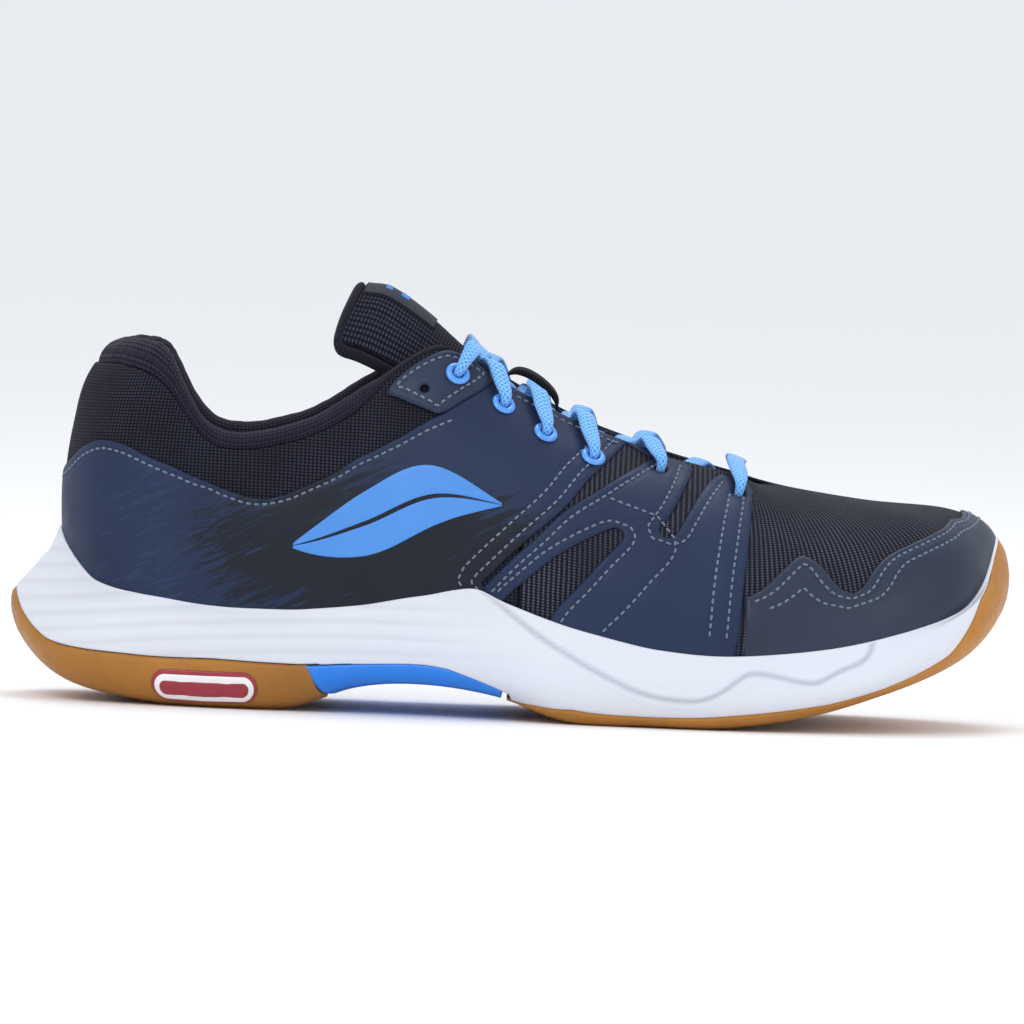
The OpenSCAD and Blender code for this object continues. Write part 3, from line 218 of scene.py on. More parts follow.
def build(name, V, F, mats, body, uv=None, fm=None, weld=0.0, smooth=True, replaces=(), slot=None, attr=None):
    me = bpy.data.meshes.new(name)
    me.from_pydata(M(V).tolist(), [], F)
    if uv is not None:
        ul = me.uv_layers.new(name="UVMap"); vi = np.zeros(len(me.loops), np.int32); me.loops.foreach_get("vertex_index", vi)
        ul.data.foreach_set("uv", np.asarray(uv, np.float32)[vi].ravel())
    if attr is not None:
        for k, a in attr.items():
            at = me.attributes.new(k, "FLOAT", "POINT"); at.data.foreach_set("value", np.asarray(a, np.float32))
    mats = mats if isinstance(mats, (list, tuple)) else [mats]
    for mt in mats: me.materials.append(mt)
    if fm is not None: me.polygons.foreach_set("material_index", np.asarray(fm, np.int32))
    bm = bmesh.new(); bm.from_mesh(me)
    if weld: bmesh.ops.remove_doubles(bm, verts=bm.verts, dist=weld / 1000)
    bmesh.ops.dissolve_degenerate(bm, edges=bm.edges, dist=1e-7)
    loose = [v for v in bm.verts if not v.link_faces]
    if loose: bmesh.ops.delete(bm, geom=loose, context="VERTS")
    bmesh.ops.recalc_face_normals(bm, faces=bm.faces)
    for f in bm.faces: f.smooth = smooth
    bm.to_mesh(me); bm.free(); me.update()
    ob = bpy.data.objects.new(name, me); bpy.context.scene.collection.objects.link(ob)
    if body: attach(ob, body)
    if replaces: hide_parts(*replaces)
    return ob

def slab(name, A, B, mats, body, wrap=False, fmA=0, fmB=0, rim=0, weld=0.02, caps=(True, True), **kw):
    """closed solid between grid A (outer) and grid B (inner); they join along both rims and the ends"""
    n, ma = A.shape[:2]; mb = B.shape[1]; off = n * ma
    V = np.concatenate([A.reshape(-1, 3), B.reshape(-1, 3)])
    fa = grid_faces(n, ma, wi=wrap); fb = grid_faces(n, mb, wi=wrap, off=off, flip=True)
    fr = []
    for i in range(n if wrap else n - 1):
        i2 = (i + 1) % n
        fr.append([i*ma, off + i*mb, off + i2*mb, i2*ma])
        fr.append([i*ma + ma - 1, i2*ma + ma - 1, off + i2*mb + mb - 1, off + i*mb + mb - 1])
    if not wrap:
        for i, s, c in ((0, 1, caps[0]), (n - 1, -1, caps[1])):
            if ma == mb and c:
                for j in range(ma - 1):
                    q = [i*ma + j, i*ma + j + 1, off + i*mb + j + 1, off + i*mb + j]; fr.append(q if s > 0 else q[::-1])
    uv = np.concatenate([grid_uv(A).reshape(-1, 2), grid_uv(B).reshape(-1, 2)])
    fm = [fmA]*len(fa) + [fmB]*len(fb) + [rim]*len(fr)
    return build(name, V, fa + fb + fr, mats, body, uv=uv, fm=fm, weld=weld, **kw)

def sweep(P, X, Y, w, t, n=16, square=2.0):
    """tube with frames X, Y, half sizes w/2, t/2; superellipse section"""
    a = np.linspace(0, 2*np.pi, n, endpoint=False); c, s = np.cos(a), np.sin(a)
    c = np.sign(c) * np.abs(c) ** (2 / square); s = np.sign(s) * np.abs(s) ** (2 / square)
    return P[:, None] + X[:, None] * (np.asarray(w)[:, None] / 2 * c)[..., None] + Y[:, None] * (np.asarray(t)[:, None] / 2 * s)[..., None]

def tube_mesh(R):
    n, m = R.shape[:2]
    F = grid_faces(n, m, wj=True)
    F.append(list(range(m))[::-1]); F.append([(n - 1)*m + j for j in range(m)])
    return F

def cr_path(P, step):
    """Catmull-Rom through the rows of P (any width); resampled at about `step` mm of the first three columns"""
    P = np.asarray(P, float); E = np.concatenate([2*P[:1] - P[1:2], P, 2*P[-1:] - P[-2:-1]])
    out = []
    for i in range(len(P) - 1):
        L = np.linalg.norm(P[i+1, :3] - P[i, :3]); k = max(2, int(math.ceil(L / step)))
        p0, p1, p2, p3 = E[i], E[i+1], E[i+2], E[i+3]
        d1 = max(np.linalg.norm(p1[:3] - p0[:3]), 1e-6)**.5; d2 = max(L, 1e-6)**.5; d3 = max(np.linalg.norm(p3[:3] - p2[:3]), 1e-6)**.5
        m1 = ((p1-p0)/d1 - (p2-p0)/(d1+d2) + (p2-p1)/d2) * d2; m2 = ((p2-p1)/d2 - (p3-p1)/(d2+d3) + (p3-p2)/d3) * d2
        for a in np.arange(k) / k:
            a2, a3 = a*a, a*a*a
            out.append((2*a3 - 3*a2 + 1)*p1 + (a3 - 2*a2 + a)*m1 + (-2*a3 + 3*a2)*p2 + (a3 - a2)*m2)
    out.append(P[-1]); return np.array(out)

# ------------------------------------------------------------------ materials
class Mat:
    def __init__(s, name):
        s.m = bpy.data.materials.new(name); s.m.use_nodes = True; s.nt = s.m.node_tree; s.nt.nodes.clear()
        s.out = s.nt.nodes.new("ShaderNodeOutputMaterial"); s.b = s.nt.nodes.new("ShaderNodeBsdfPrincipled")
        s.nt.links.new(s.b.outputs[0], s.out.inputs[0])
    def set(s, **kw):
        for k, v in kw.items():
            k = k.replace("_", " ")
            if isinstance(v, (tuple, list)) and len(v) == 3 and s.b.inputs[k].type == "RGBA": v = (*v, 1)
            s.b.inputs[k].default_value = v
        return s
    def node(s, typ, ins=None, **props):
        n = s.nt.nodes.new("ShaderNode" + typ)
        for k, v in props.items(): setattr(n, k, v)
        for k, v in (ins or {}).items():
            if hasattr(v, "links") or isinstance(v, bpy.types.NodeSocket): s.nt.links.new(v, n.inputs[k])
            else:
                if isinstance(v, (tuple, list)) and len(v) == 3 and n.inputs[k].type == "RGBA": v = (*v, 1)
                n.inputs[k].default_value = v
        return n
    def math(s, op, a, b=0.0, c=0.0):
        return s.node("Math", {0: a, 1: b, 2: c}, operation=op).outputs[0]
    def mix(s, f, a, b):
        n = s.nt.nodes.new("ShaderNodeMix"); n.data_type = "RGBA"
        for i, v in ((0, f), (6, a), (7, b)):
            if isinstance(v, bpy.types.NodeSocket): s.nt.links.new(v, n.inputs[i])
            else: n.inputs[i].default_value = (*v, 1) if isinstance(v, (tuple, list)) and len(v) == 3 else v
        return n.outputs[2]
    def ramp(s, f, stops, interp="LINEAR"):
        n = s.node("ValToRGB", {0: f}); r = n.color_ramp; r.interpolation = interp
        while len(r.elements) < len(stops): r.elements.new(0.5)
        for e, (p, c) in zip(r.elements, stops): e.position = p; e.color = (*c, 1) if len(c) == 3 else c
        return n.outputs[0]
    def maprange(s, v, a, b, c=0.0, d=1.0, smooth=False):
        n = s.node("MapRange", {0: v, 1: a, 2: b, 3: c, 4: d}); n.interpolation_type = "SMOOTHSTEP" if smooth else "LINEAR"; return n.outputs[0]
    def uv(s): return s.node("UVMap", uv_map="UVMap").outputs[0]
    def obj(s): return s.node("TexCoord").outputs["Object"]
    def xyz(s, v): n = s.node("SeparateXYZ", {0: v}); return n.outputs[0], n.outputs[1], n.outputs[2]
    def noise(s, vec, scale, detail=3, rough=0.55):
        return s.node("TexNoise", {"Vector": vec, "Scale": scale, "Detail": detail, "Roughness": rough}).outputs[0]
    def bump(s, h, strength, dist, normal=None):
        ins = {"Height": h, "Strength": strength, "Distance": dist}
        if normal is not None: ins["Normal"] = normal
        return s.node("Bump", ins).outputs[0]
    def link(s, sock, name): s.nt.links.new(sock, s.b.inputs[name]); return s

def stretch(m, vec, sx, sy, sz, rot=(0, 0, 0)):
    return m.node("Mapping", {"Vector": vec, "Scale": (sx, sy, sz), "Rotation": rot}).outputs[0]

def weave(name, dark, light, pu, pv, rough=0.85, depth=0.00022, duty=(0.25, 0.8), sheen=0.03, kind="hex", var=0.25, zdark=None):
    """open technical mesh: raised threads round dark holes. pu, pv are the pitches in mm"""
    m = Mat(name); U, Vv, _ = m.xyz(m.uv())
    wob = m.noise(stretch(m, m.uv(), 0.05, 0.05, 1), 1.0, 2)
    U = m.math("ADD", U, m.math("MULTIPLY", wob, 0.8)); Vv = m.math("ADD", Vv, m.math("MULTIPLY", wob, 0.8))
    a = m.math("MULTIPLY", U, 2*math.pi / pu); b = m.math("MULTIPLY", Vv, 2*math.pi / pv)
    if kind == "hex":
        h = m.math("MULTIPLY", m.math("COSINE", m.math("MULTIPLY", a, 0.5)), m.math("COSINE", m.math("MULTIPLY", b, 0.5)))
        h = m.math("ABSOLUTE", h)
    elif kind == "rib":
        h = m.math("ABSOLUTE", m.math("COSINE", m.math("MULTIPLY", a, 0.5)))
        h = m.math("MULTIPLY", h, m.math("ADD", 0.8, m.math("MULTIPLY", m.math("COSINE", b), 0.2)))
    else:
        h = m.math("MULTIPLY", m.math("ADD", 0.5, m.math("MULTIPLY", m.math("SINE", a), 0.5)), m.math("ADD", 0.5, m.math("MULTIPLY", m.math("SINE", m.math("ADD", b, a)), 0.5)))
    f = m.maprange(h, duty[0], duty[1], 0, 1, True)
    big = m.noise(m.obj(), 35, 3)
    lt = m.mix(m.maprange(big, 0.35, 0.7), tuple(c * (1 - var) for c in light), tuple(c * (1 + var) for c in light))
    col = m.mix(f, dark, lt)
    m.link(col, "Base Color"); m.set(Roughness=rough, Specular_IOR_Level=0.12, Sheen_Weight=sheen, Sheen_Roughness=0.5)
    fine = m.noise(m.obj(), 2500, 2)
    n0 = m.bump(fine, 0.15, 0.0001)
    m.link(m.bump(f, 0.9, depth, n0), "Normal")
    return m.m

def leather(name, navy=(0.0135, 0.025, 0.063), char=(0.009, 0.012, 0.020), printed=False, rough=0.5, spec=0.2):
    """matt synthetic leather with a fine pebble; the quarters carry a dragged, scratchy charcoal print"""
    m = Mat(name); o = m.obj()
    peb = m.node("TexVoronoi", {"Vector": o, "Scale": 1500.0}, feature="SMOOTH_F1").outputs[0]
    fine = m.noise(o, 1800, 3)
    cloud = m.noise(o, 28, 3)
    base = m.mix(m.maprange(cloud, 0.3, 0.7), tuple(c * 0.86 for c in navy), tuple(c * 1.14 for c in navy))
    if printed:
        X, Y, Z = m.xyz(o)
        # streaks that run up and back from the arch towards the heel
        st = m.noise(stretch(m, o, 1, 1, 1, (0, math.radians(24), 0)), 1.0, 1)
        sv = stretch(m, stretch(m, o, 1, 1, 1, (0, math.radians(26), 0)), 55, 200, 620)
        streak = m.noise(sv, 1.0, 5, 0.68)
        sv2 = stretch(m, stretch(m, o, 1, 1, 1, (0, math.radians(26), 0)), 160, 300, 2100)
        fib = m.noise(sv2, 1.0, 3, 0.7)
        # patch: its middle lies low on the quarter behind the ball of the foot
        ex = m.math("MULTIPLY", m.math("SUBTRACT", X, -0.036), 1 / 0.062)
        ez = m.math("MULTIPLY", m.math("SUBTRACT", m.math("ADD", Z, m.math("MULTIPLY", X, 0.10)), 0.043), 1 / 0.025)
        r2 = m.math("ADD", m.math("MULTIPLY", ex, ex), m.math("MULTIPLY", ez, ez))
        core = m.math("SUBTRACT", 1.25, r2)
        v = m.math("ADD", core, m.math("MULTIPLY", m.math("SUBTRACT", streak, 0.5), 4.2))
        v = m.math("ADD", v, m.math("MULTIPLY", m.math("SUBTRACT", fib, 0.5), 1.1))
        k = m.maprange(v, 0.15, 0.5, 0, 1, True)
        base = m.mix(k, base, char)
        # paler dragged marks on the heel side
        pale = m.math("SUBTRACT", m.math("ADD", m.math("MULTIPLY", m.math("SUBTRACT", streak, 0.5), 3.4), m.math("MULTIPLY", m.math("SUBTRACT", fib, 0.5), 1.8)), m.math("MULTIPLY", m.math("ABSOLUTE", m.math("ADD", X, 0.105)), 16))
        base = m.mix(m.maprange(pale, 0.0, 0.25, 0, 0.55, True), base, tuple(c * 1.75 for c in navy))
    m.link(base, "Base Color")
    m.link(m.maprange(m.noise(o, 90, 3), 0.3, 0.7, rough - 0.07, rough + 0.08), "Roughness")
    m.set(Specular_IOR_Level=spec, Sheen_Weight=0.0)
    m.link(m.bump(fine, 0.25, 0.00006, m.bump(peb, 0.35, 0.00009)), "Normal")
    return m.m

def knit(name, col, pu=1.1, pv=1.4, rough=0.9, depth=0.0003, sheen=0.05, light=1.5):
    """soft knitted cloth: columns of small V stitches"""
    m = Mat(name); U, Vv, _ = m.xyz(m.uv())
    a = m.math("MULTIPLY", U, 2*math.pi / pu)
    vee = m.math("ABSOLUTE", m.math("SINE", m.math("MULTIPLY", a, 0.5)))
    b = m.math("ADD", m.math("MULTIPLY", Vv, 2*math.pi / pv), m.math("MULTIPLY", vee, 2.6))
    h = m.math("MULTIPLY", m.math("ADD", 0.55, m.math("MULTIPLY", m.math("SINE", b), 0.45)), m.math("ADD", 0.35, m.math("MULTIPLY", vee, 0.65)))
    f = m.maprange(h, 0.15, 0.85, 0, 1, True)
    big = m.noise(m.obj(), 60, 3)
    c2 = m.mix(m.maprange(big, 0.35, 0.7), tuple(c * light * 0.85 for c in col), tuple(c * light * 1.15 for c in col))
    m.link(m.mix(f, tuple(c * 0.45 for c in col), c2), "Base Color")
    m.set(Roughness=rough, Specular_IOR_Level=0.12, Sheen_Weight=sheen, Sheen_Roughness=0.45)
    fuzz = m.noise(m.obj(), 2600, 2)
    m.link(m.bump(f, 0.8, depth, m.bump(fuzz, 0.3, 0.0001)), "Normal")
    return m.m

def rubber(name, col, rough=0.5, sub=0.12):
    m = Mat(name); o = m.obj()
    big = m.noise(o, 22, 4); fine = m.noise(o, 1400, 3); spk = m.noise(o, 420, 2)
    c = m.mix(m.maprange(big, 0.3, 0.7), tuple(k * 0.82 for k in col), tuple(k * 1.12 for k in col))
    c = m.mix(m.maprange(spk, 0.55, 0.8, 0, 0.25), c, tuple(k * 0.6 for k in col))
    m.link(c, "Base Color"); m.link(m.maprange(spk, 0.3, 0.7, rough - 0.08, rough + 0.1), "Roughness")
    m.set(Subsurface_Weight=sub, Subsurface_Scale=0.003, Subsurface_Radius=(1.0, 0.5, 0.2), Specular_IOR_Level=0.4)
    m.link(m.bump(fine, 0.4, 0.00012, m.bump(spk, 0.2, 0.0002)), "Normal")
    return m.m

def foam_skin(name, col=(0.64, 0.665, 0.73)):
    m = Mat(name); o = m.obj()
    big = m.noise(o, 14, 3); fine = m.noise(o, 1100, 4); mid = m.noise(o, 160, 3)
    X, Y, Z = m.xyz(o)
    c = m.mix(m.maprange(big, 0.3, 0.7), tuple(k * 0.97 for k in col), tuple(min(1, k * 1.03) for k in col))
    # darker, browner noise patches towards the bottom of the foam wall, up to 12 % of the colour
    low_darkening = m.math("MULTIPLY", m.maprange(Z, 0.004, 0.016, 1, 0, True), m.maprange(mid, 0.45, 0.75))
    c = m.mix(m.math("MULTIPLY", low_darkening, 0.12), c, (0.50, 0.48, 0.44))
    c = m.mix(m.node("Attribute", attribute_name="shade").outputs["Fac"], c, (0.30, 0.31, 0.37))
    m.link(c, "Base Color"); m.link(m.maprange(mid, 0.3, 0.7, 0.42, 0.58), "Roughness")
    m.set(Subsurface_Weight=0.08, Subsurface_Scale=0.002, Subsurface_Radius=(1, 1, 1), Specular_IOR_Level=0.4)
    m.link(m.bump(fine, 0.3, 0.00008, m.bump(mid, 0.12, 0.0003)), "Normal")
    return m.m

def plastic(name, col, rough=0.3, grain=0.1, coat=0.0):
    m = Mat(name); o = m.obj()
    big = m.noise(o, 30, 3); fine = m.noise(o, 1600, 2)
    m.link(m.mix(m.maprange(big, 0.3, 0.7), tuple(k * 0.92 for k in col), tuple(min(1, k * 1.08) for k in col)), "Base Color")
    m.link(m.maprange(big, 0.3, 0.7, rough - 0.05, rough + 0.07), "Roughness"); m.set(Coat_Weight=coat, Specular_IOR_Level=0.5)
    m.link(m.bump(fine, grain, 0.00008), "Normal")
    return m.m

def lace_mat():
    m = Mat("lace_knit"); U, Vv, _ = m.xyz(m.uv())   # U along the lace, V round it (both mm)
    # two families of diagonal yarns, as in a flat braid
    p = 2*math.pi / 1.6
    a = m.math("SINE", m.math("MULTIPLY", m.math("ADD", U, m.math("MULTIPLY", Vv, 1.0)), p))
    b = m.math("SINE", m.math("MULTIPLY", m.math("SUBTRACT", U, m.math("MULTIPLY", Vv, 1.0)), p))
    h = m.math("MAXIMUM", a, b); f = m.maprange(h, -0.25, 0.95, 0, 1, True)
    yarn = m.noise(stretch(m, m.uv(), 7, 7, 1), 1.0, 2)
    col = m.mix(f, (0.060, 0.26, 0.72), m.mix(m.maprange(yarn, 0.3, 0.7), (0.15, 0.44, 0.92), (0.26, 0.60, 1.0)))
    m.link(col, "Base Color"); m.set(Roughness=0.75, Sheen_Weight=0.35, Sheen_Roughness=0.4, Specular_IOR_Level=0.3)
    m.link(m.bump(f, 0.9, 0.00022, m.bump(yarn, 0.3, 0.0001)), "Normal")
    return m.m

def print_film():
    m = Mat("print_film"); o = m.obj()
    fib = m.noise(stretch(m, stretch(m, o, 1, 1, 1, (0, math.radians(26), 0)), 160, 300, 1500), 1.0, 3, 0.7)
    cl = m.noise(o, 40, 3)
    c = m.mix(m.maprange(cl, 0.3, 0.7), (0.050, 0.225, 0.62), (0.062, 0.25, 0.68))
    c = m.mix(m.maprange(fib, 0.60, 0.72, 0, 0.3), c, (0.04, 0.16, 0.45))
    m.link(c, "Base Color"); m.set(Roughness=0.42, Specular_IOR_Level=0.45)
    m.link(m.bump(m.noise(o, 1500, 3), 0.3, 0.00007), "Normal")
    return m.m

LE_P = leather("leather_printed", printed=True); LE = leather("leather_navy"); LE_TAB = leather("leather_tab", navy=(0.020, 0.030, 0.062), rough=0.45); LE_TOE = leather("leather_toe", navy=(0.014, 0.024, 0.050), rough=0.42, spec=0.35)
MESH_V = weave("mesh_vamp", (0.008, 0.009, 0.016), (0.085, 0.088, 0.125), 1.55, 0.9, kind="rib", duty=(0.5, 0.98), depth=0.0003)
MESH_C = weave("mesh_collar", (0.003, 0.003, 0.006), (0.026, 0.026, 0.045), 1.25, 1.0, kind="hex", duty=(0.2, 0.6), depth=0.0003)
MESH_T_ = weave("mesh_tongue", (0.003, 0.003, 0.007), (0.030, 0.030, 0.055), 1.45, 1.1, kind="hex", duty=(0.25, 0.65), depth=0.0004)
LINING = knit("lining_knit", (0.016, 0.016, 0.027), 1.3, 1.3)
ROLL = knit("collar_knit", (0.018, 0.017, 0.034), 1.2, 1.2, light=1.7, sheen=0.08)
BIND = knit("binding_knit", (0.014, 0.014, 0.026), 0.9, 1.0)
GUM = rubber("gum", (0.37, 0.155, 0.020), rough=0.5); GUM2 = rubber("gum_fore", (0.42, 0.175, 0.022), rough=0.5)
EVA = foam_skin("eva_white")
SHANK = plastic("shank_blue", (0.008, 0.20, 0.74), 0.35, coat=0.05)
RING = plastic("ring_blue", (0.08, 0.30, 0.80), 0.22, coat=0.5)
BADGE = plastic("badge_red", (0.30, 0.012, 0.030), 0.3, coat=0.3); BADGE_W = plastic("badge_white", (0.85, 0.85, 0.86), 0.35)
LACE = lace_mat(); PRINT = print_film()
AGLET = plastic("aglet_clear", (0.45, 0.60, 0.85), 0.15, coat=0.6)
THREAD = knit("thread", (0.27, 0.34, 0.46), 0.5, 0.8, rough=0.6, light=1.25, sheen=0.05)
WEBBING = weave("webbing", (0.004, 0.004, 0.006), (0.020, 0.020, 0.028), 1.0, 1.0, kind="twill", depth=0.0002)
LABEL = weave("label_satin", (0.020, 0.022, 0.032), (0.060, 0.066, 0.090), 0.6, 0.6, kind="twill", depth=0.00008, rough=0.55)
LABEL_B = weave("label_blue", (0.05, 0.20, 0.50), (0.11, 0.36, 0.80), 0.6, 0.6, kind="twill", depth=0.00008, rough=0.55)
SOCK = knit("sock_cloth", (0.045, 0.15, 0.36), 1.0, 1.0, light=1.3)
BOARD = plastic("board_cloth", (0.70, 0.68, 0.59), 0.8, 0.5)
STIFF = plastic("stiffener", (0.66, 0.66, 0.62), 0.55, 0.4); PUF = rubber("pu_foam", (0.72, 0.66, 0.36), 0.9); SOCKF = rubber("sock_foam", (0.045, 0.055, 0.09), 0.8)
for n_, m_ in (("strobel_board", BOARD), ("heel_counter", STIFF), ("toe_puff", STIFF), ("collar_foam", PUF)):
    o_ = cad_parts[n_]; o_.data.materials.clear(); o_.data.materials.append(m_)

# ------------------------------------------------------------------ sole
def sect(f, ks, nb, cr=0.0):
    L = f(ks); Md = f(28 - ks)
    a, b = L[:, -1], Md[:, -1]; t = (np.arange(1, nb + 1) / (nb + 1))[None, :, None]
    d = np.minimum(1, np.linalg.norm(b - a, axis=-1) / 20)[:, None]
    mid = a[:, None] * (1 - t) + b[:, None] * t; mid[..., 2] += cr * d
    return np.concatenate([L, mid, Md[:, ::-1]], 1)

def wheel(k): return np.interp(k, [0, .5, 1, 3, 4, 4.2], [3.35, 3.05, 2.95, 3.0, 2.9, 2.85])
def wfore(k): return np.interp(k, [7.1, 7.5, 8, 9, 10, 11, 11.6, 12, 12.46, 12.8, 13.2, 13.42, 13.64, 14], [.35, 1.25, 1.9, 1.8, 2.0, 1.95, 2.2, 2.55, 3.0, 4.1, 5.2, 5.7, 5.9, 5.96])
def wshank(k): return np.interp(k, [4, 5, 6, 6.3, 7.15], [2.85, 2.78, 2.75, 2.6, 1.35])
def mir(u): return np.where(u > 14, 28 - u, u)
def thin(w): return np.clip((6 - w) / 2.6, 0.2, 1)

def wallpts(u, ws, d):
    """points on the wall: u (n,), ws (n, j), offsets d (n, j) or number"""
    U = np.broadcast_to(u[:, None], ws.shape)
    return W(U, ws) + np.asarray(d)[..., None] * WN(U, ws) if np.ndim(d) else W(U, ws) + d * WN(U, ws)
def foot(u, d):
    q = WN(u, 0 * u); q = q + np.array([0, 0, -1.2]); return W(u, 0 * u) + np.asarray(d)[..., None] * unit(q)

def polydist(P, L):
    """distance of points P (n,2) from the polyline L (m,2)"""
    a, b = L[:-1], L[1:]; ab = b - a; l2 = np.maximum((ab**2).sum(-1), 1e-9)
    out = np.full(len(P), 1e9)
    for s in range(0, len(P), 4000):
        p = P[s:s+4000, None]; t = np.clip(((p - a) * ab).sum(-1) / l2, 0, 1)
        out[s:s+4000] = np.sqrt((((a + t[..., None]*ab) - p)**2).sum(-1)).min(1)
    return out

CREASE = cr_path(np.c_[px2mm([(480,588),(517,619),(539,636),(571,657),(604,676),(640,693),(670,700),(700,701),(722,692),(737,681),(750,674),(783,678),(799,682),(816,683),(840,671),(861,662),(869,654),(873,642)]), np.zeros(18)], 1.0)[:, :2]
def midsole():
    ks = np.unique(np.concatenate([np.linspace(0, 1, 26), np.linspace(1, 13, 290), np.linspace(13, 14, 40)]))
    def wb(k): return np.clip(np.where(k < 4.42, wheel(np.minimum(4.1, k)), np.where(k < 4.9, 2.82, np.where(k < 7.15, wshank(k), wfore(k)))) + 0.05, 0.02, 5.93)
    def ti(k): return np.interp(k, [0, 4.4, 4.6, 7, 7.3, 8, 14], [3.6, 3.6, 2.9, 2.9, 1.4, 3.0, 3.2])
    def fo(u):
        k = mir(u); w0 = wb(k); J = 34
        # rounded lip, then down the wall
        t = np.linspace(0, 1, J)[None] ** 1.0; ws = 6 - (6 - w0)[:, None] * t
        P = W(np.broadcast_to(u[:, None], ws.shape), ws); n = WN(np.broadcast_to(u[:, None], ws.shape), np.minimum(ws, 5.9))
        pl = plane(P); lat = (u <= 14)[:, None]
        plm = pl.copy()
        plm[..., 1] = P[..., 2]*math.cos(ELV) + (-np.abs(P[..., 1]) + 35)*math.sin(ELV)
        d = polydist(plm.reshape(-1, 2), CREASE).reshape(ws.shape)
        g = -0.8 * np.exp(-(d / 0.7) ** 2) + 0.2 * np.exp(-((d - 1.6) / 1.0) ** 2)
        # long shallow flow lines on the heel and waist
        z = P[..., 2]; x = P[..., 0]
        ph = (z - 16 - 5.0*np.sin((x + 20) / 62.0) - 0.05*x) / 4.6
        amp = 0.32 * sm(158, 120, x) * sm(0.0, 1.2, ws - w0[:, None]) * sm(6.0, 5.2, ws)
        rid = np.abs((ph % 1.0) - 0.5) * 2
        g = g + amp * (rid ** 0.7 - 0.6)
        g = g * sm(6.0, 5.75, ws)
        P = P + g[..., None] * n
        # lip roll-over
        s_ = np.linspace(0, 1, J)
        inner = np.stack([V_(u, w0 - 0.02, -ti(k)*thin(w0)), V_(u, w0*0.6, -ti(k)*thin(w0*0.6)), V_(u, w0*0.3, -ti(k)), foot(u, -ti(k))], 1)
        return np.concatenate([P, inner], 1)
    def fi(u):
        b = bites(u); nb_ = N(u, b); l0 = W(u, 6 + 0*u)
        up = unit(S(u, b + 0.1) - S(u, b - 0.1))
        a1 = l0 - 0.12*nb_ + 0.28*up; a2 = l0 - 0.42*nb_ + 0.42*up; a3 = l0 - 0.72*nb_ + 0.30*up
        rows = [a1, a2, a3] + [O(u, b * (1 - i / 9), 0.30) for i in range(0, 9)]
        low = S(u, 0*u) + np.array([0, 0, -2.0])
        return np.stack(rows + [low], 1)
    A = sect(fi, ks, 8); B = sect(fo, ks, 8)
    def shade(P):
        x, z = P[..., 0], P[..., 2]; q = np.stack([x, z*math.cos(ELV) + (-np.abs(P[..., 1]) + 35)*math.sin(ELV)], -1)
        d = polydist(q.reshape(-1, 2), CREASE).reshape(x.shape)
        rid = np.abs((((z - 16 - 5.0*np.sin((x + 20) / 62.0) - 0.05*x) / 4.6) % 1.0) - 0.5) * 2
        return (0.45*np.exp(-(d / 0.75)**2) + 0.16*np.exp(-(rid / 0.35)**2) * sm(150, 110, x)).ravel()
    return slab("midsole_foam", A, B, EVA, "shoe", replaces=["midsole"], slot="eva_white", weld=0.03, caps=(False, False), attr={"shade": np.concatenate([0*A[..., 0].ravel(), shade(B)])})
def V_(u, w, d): return W(u, w) + np.asarray(d)[..., None] * WN(u, w)

def tri_wave(x): return np.abs((x % 1.0) - 0.5) * 2
def tread(P, fore):
    """depth of the moulded grooves at points P of the bottom"""
    x, y = P[..., 0], P[..., 1]
    zig = tri_wave(y / 11.0) * 5.5
    g = sm(0.62, 0.80, tri_wave((x + zig) / 6.6))        # narrow zigzag grooves
    if fore:
        r = np.hypot(x - 205, y + 2)
        rings = sm(0.55, 0.75, tri_wave(r / 4.4)); inside = sm(19.5, 18.5, r)
        g = g * (1 - inside) + rings * inside
        g = np.maximum(g * (1 - sm(1.2, 0.4, np.abs(r - 19.5))), sm(1.3, 0.7, np.abs(r - 19.5)))
        for xf in (236, 262): g = np.maximum(g, sm(1.5, 0.8, np.abs(x - xf - 0.002*(y**2))))
    return g

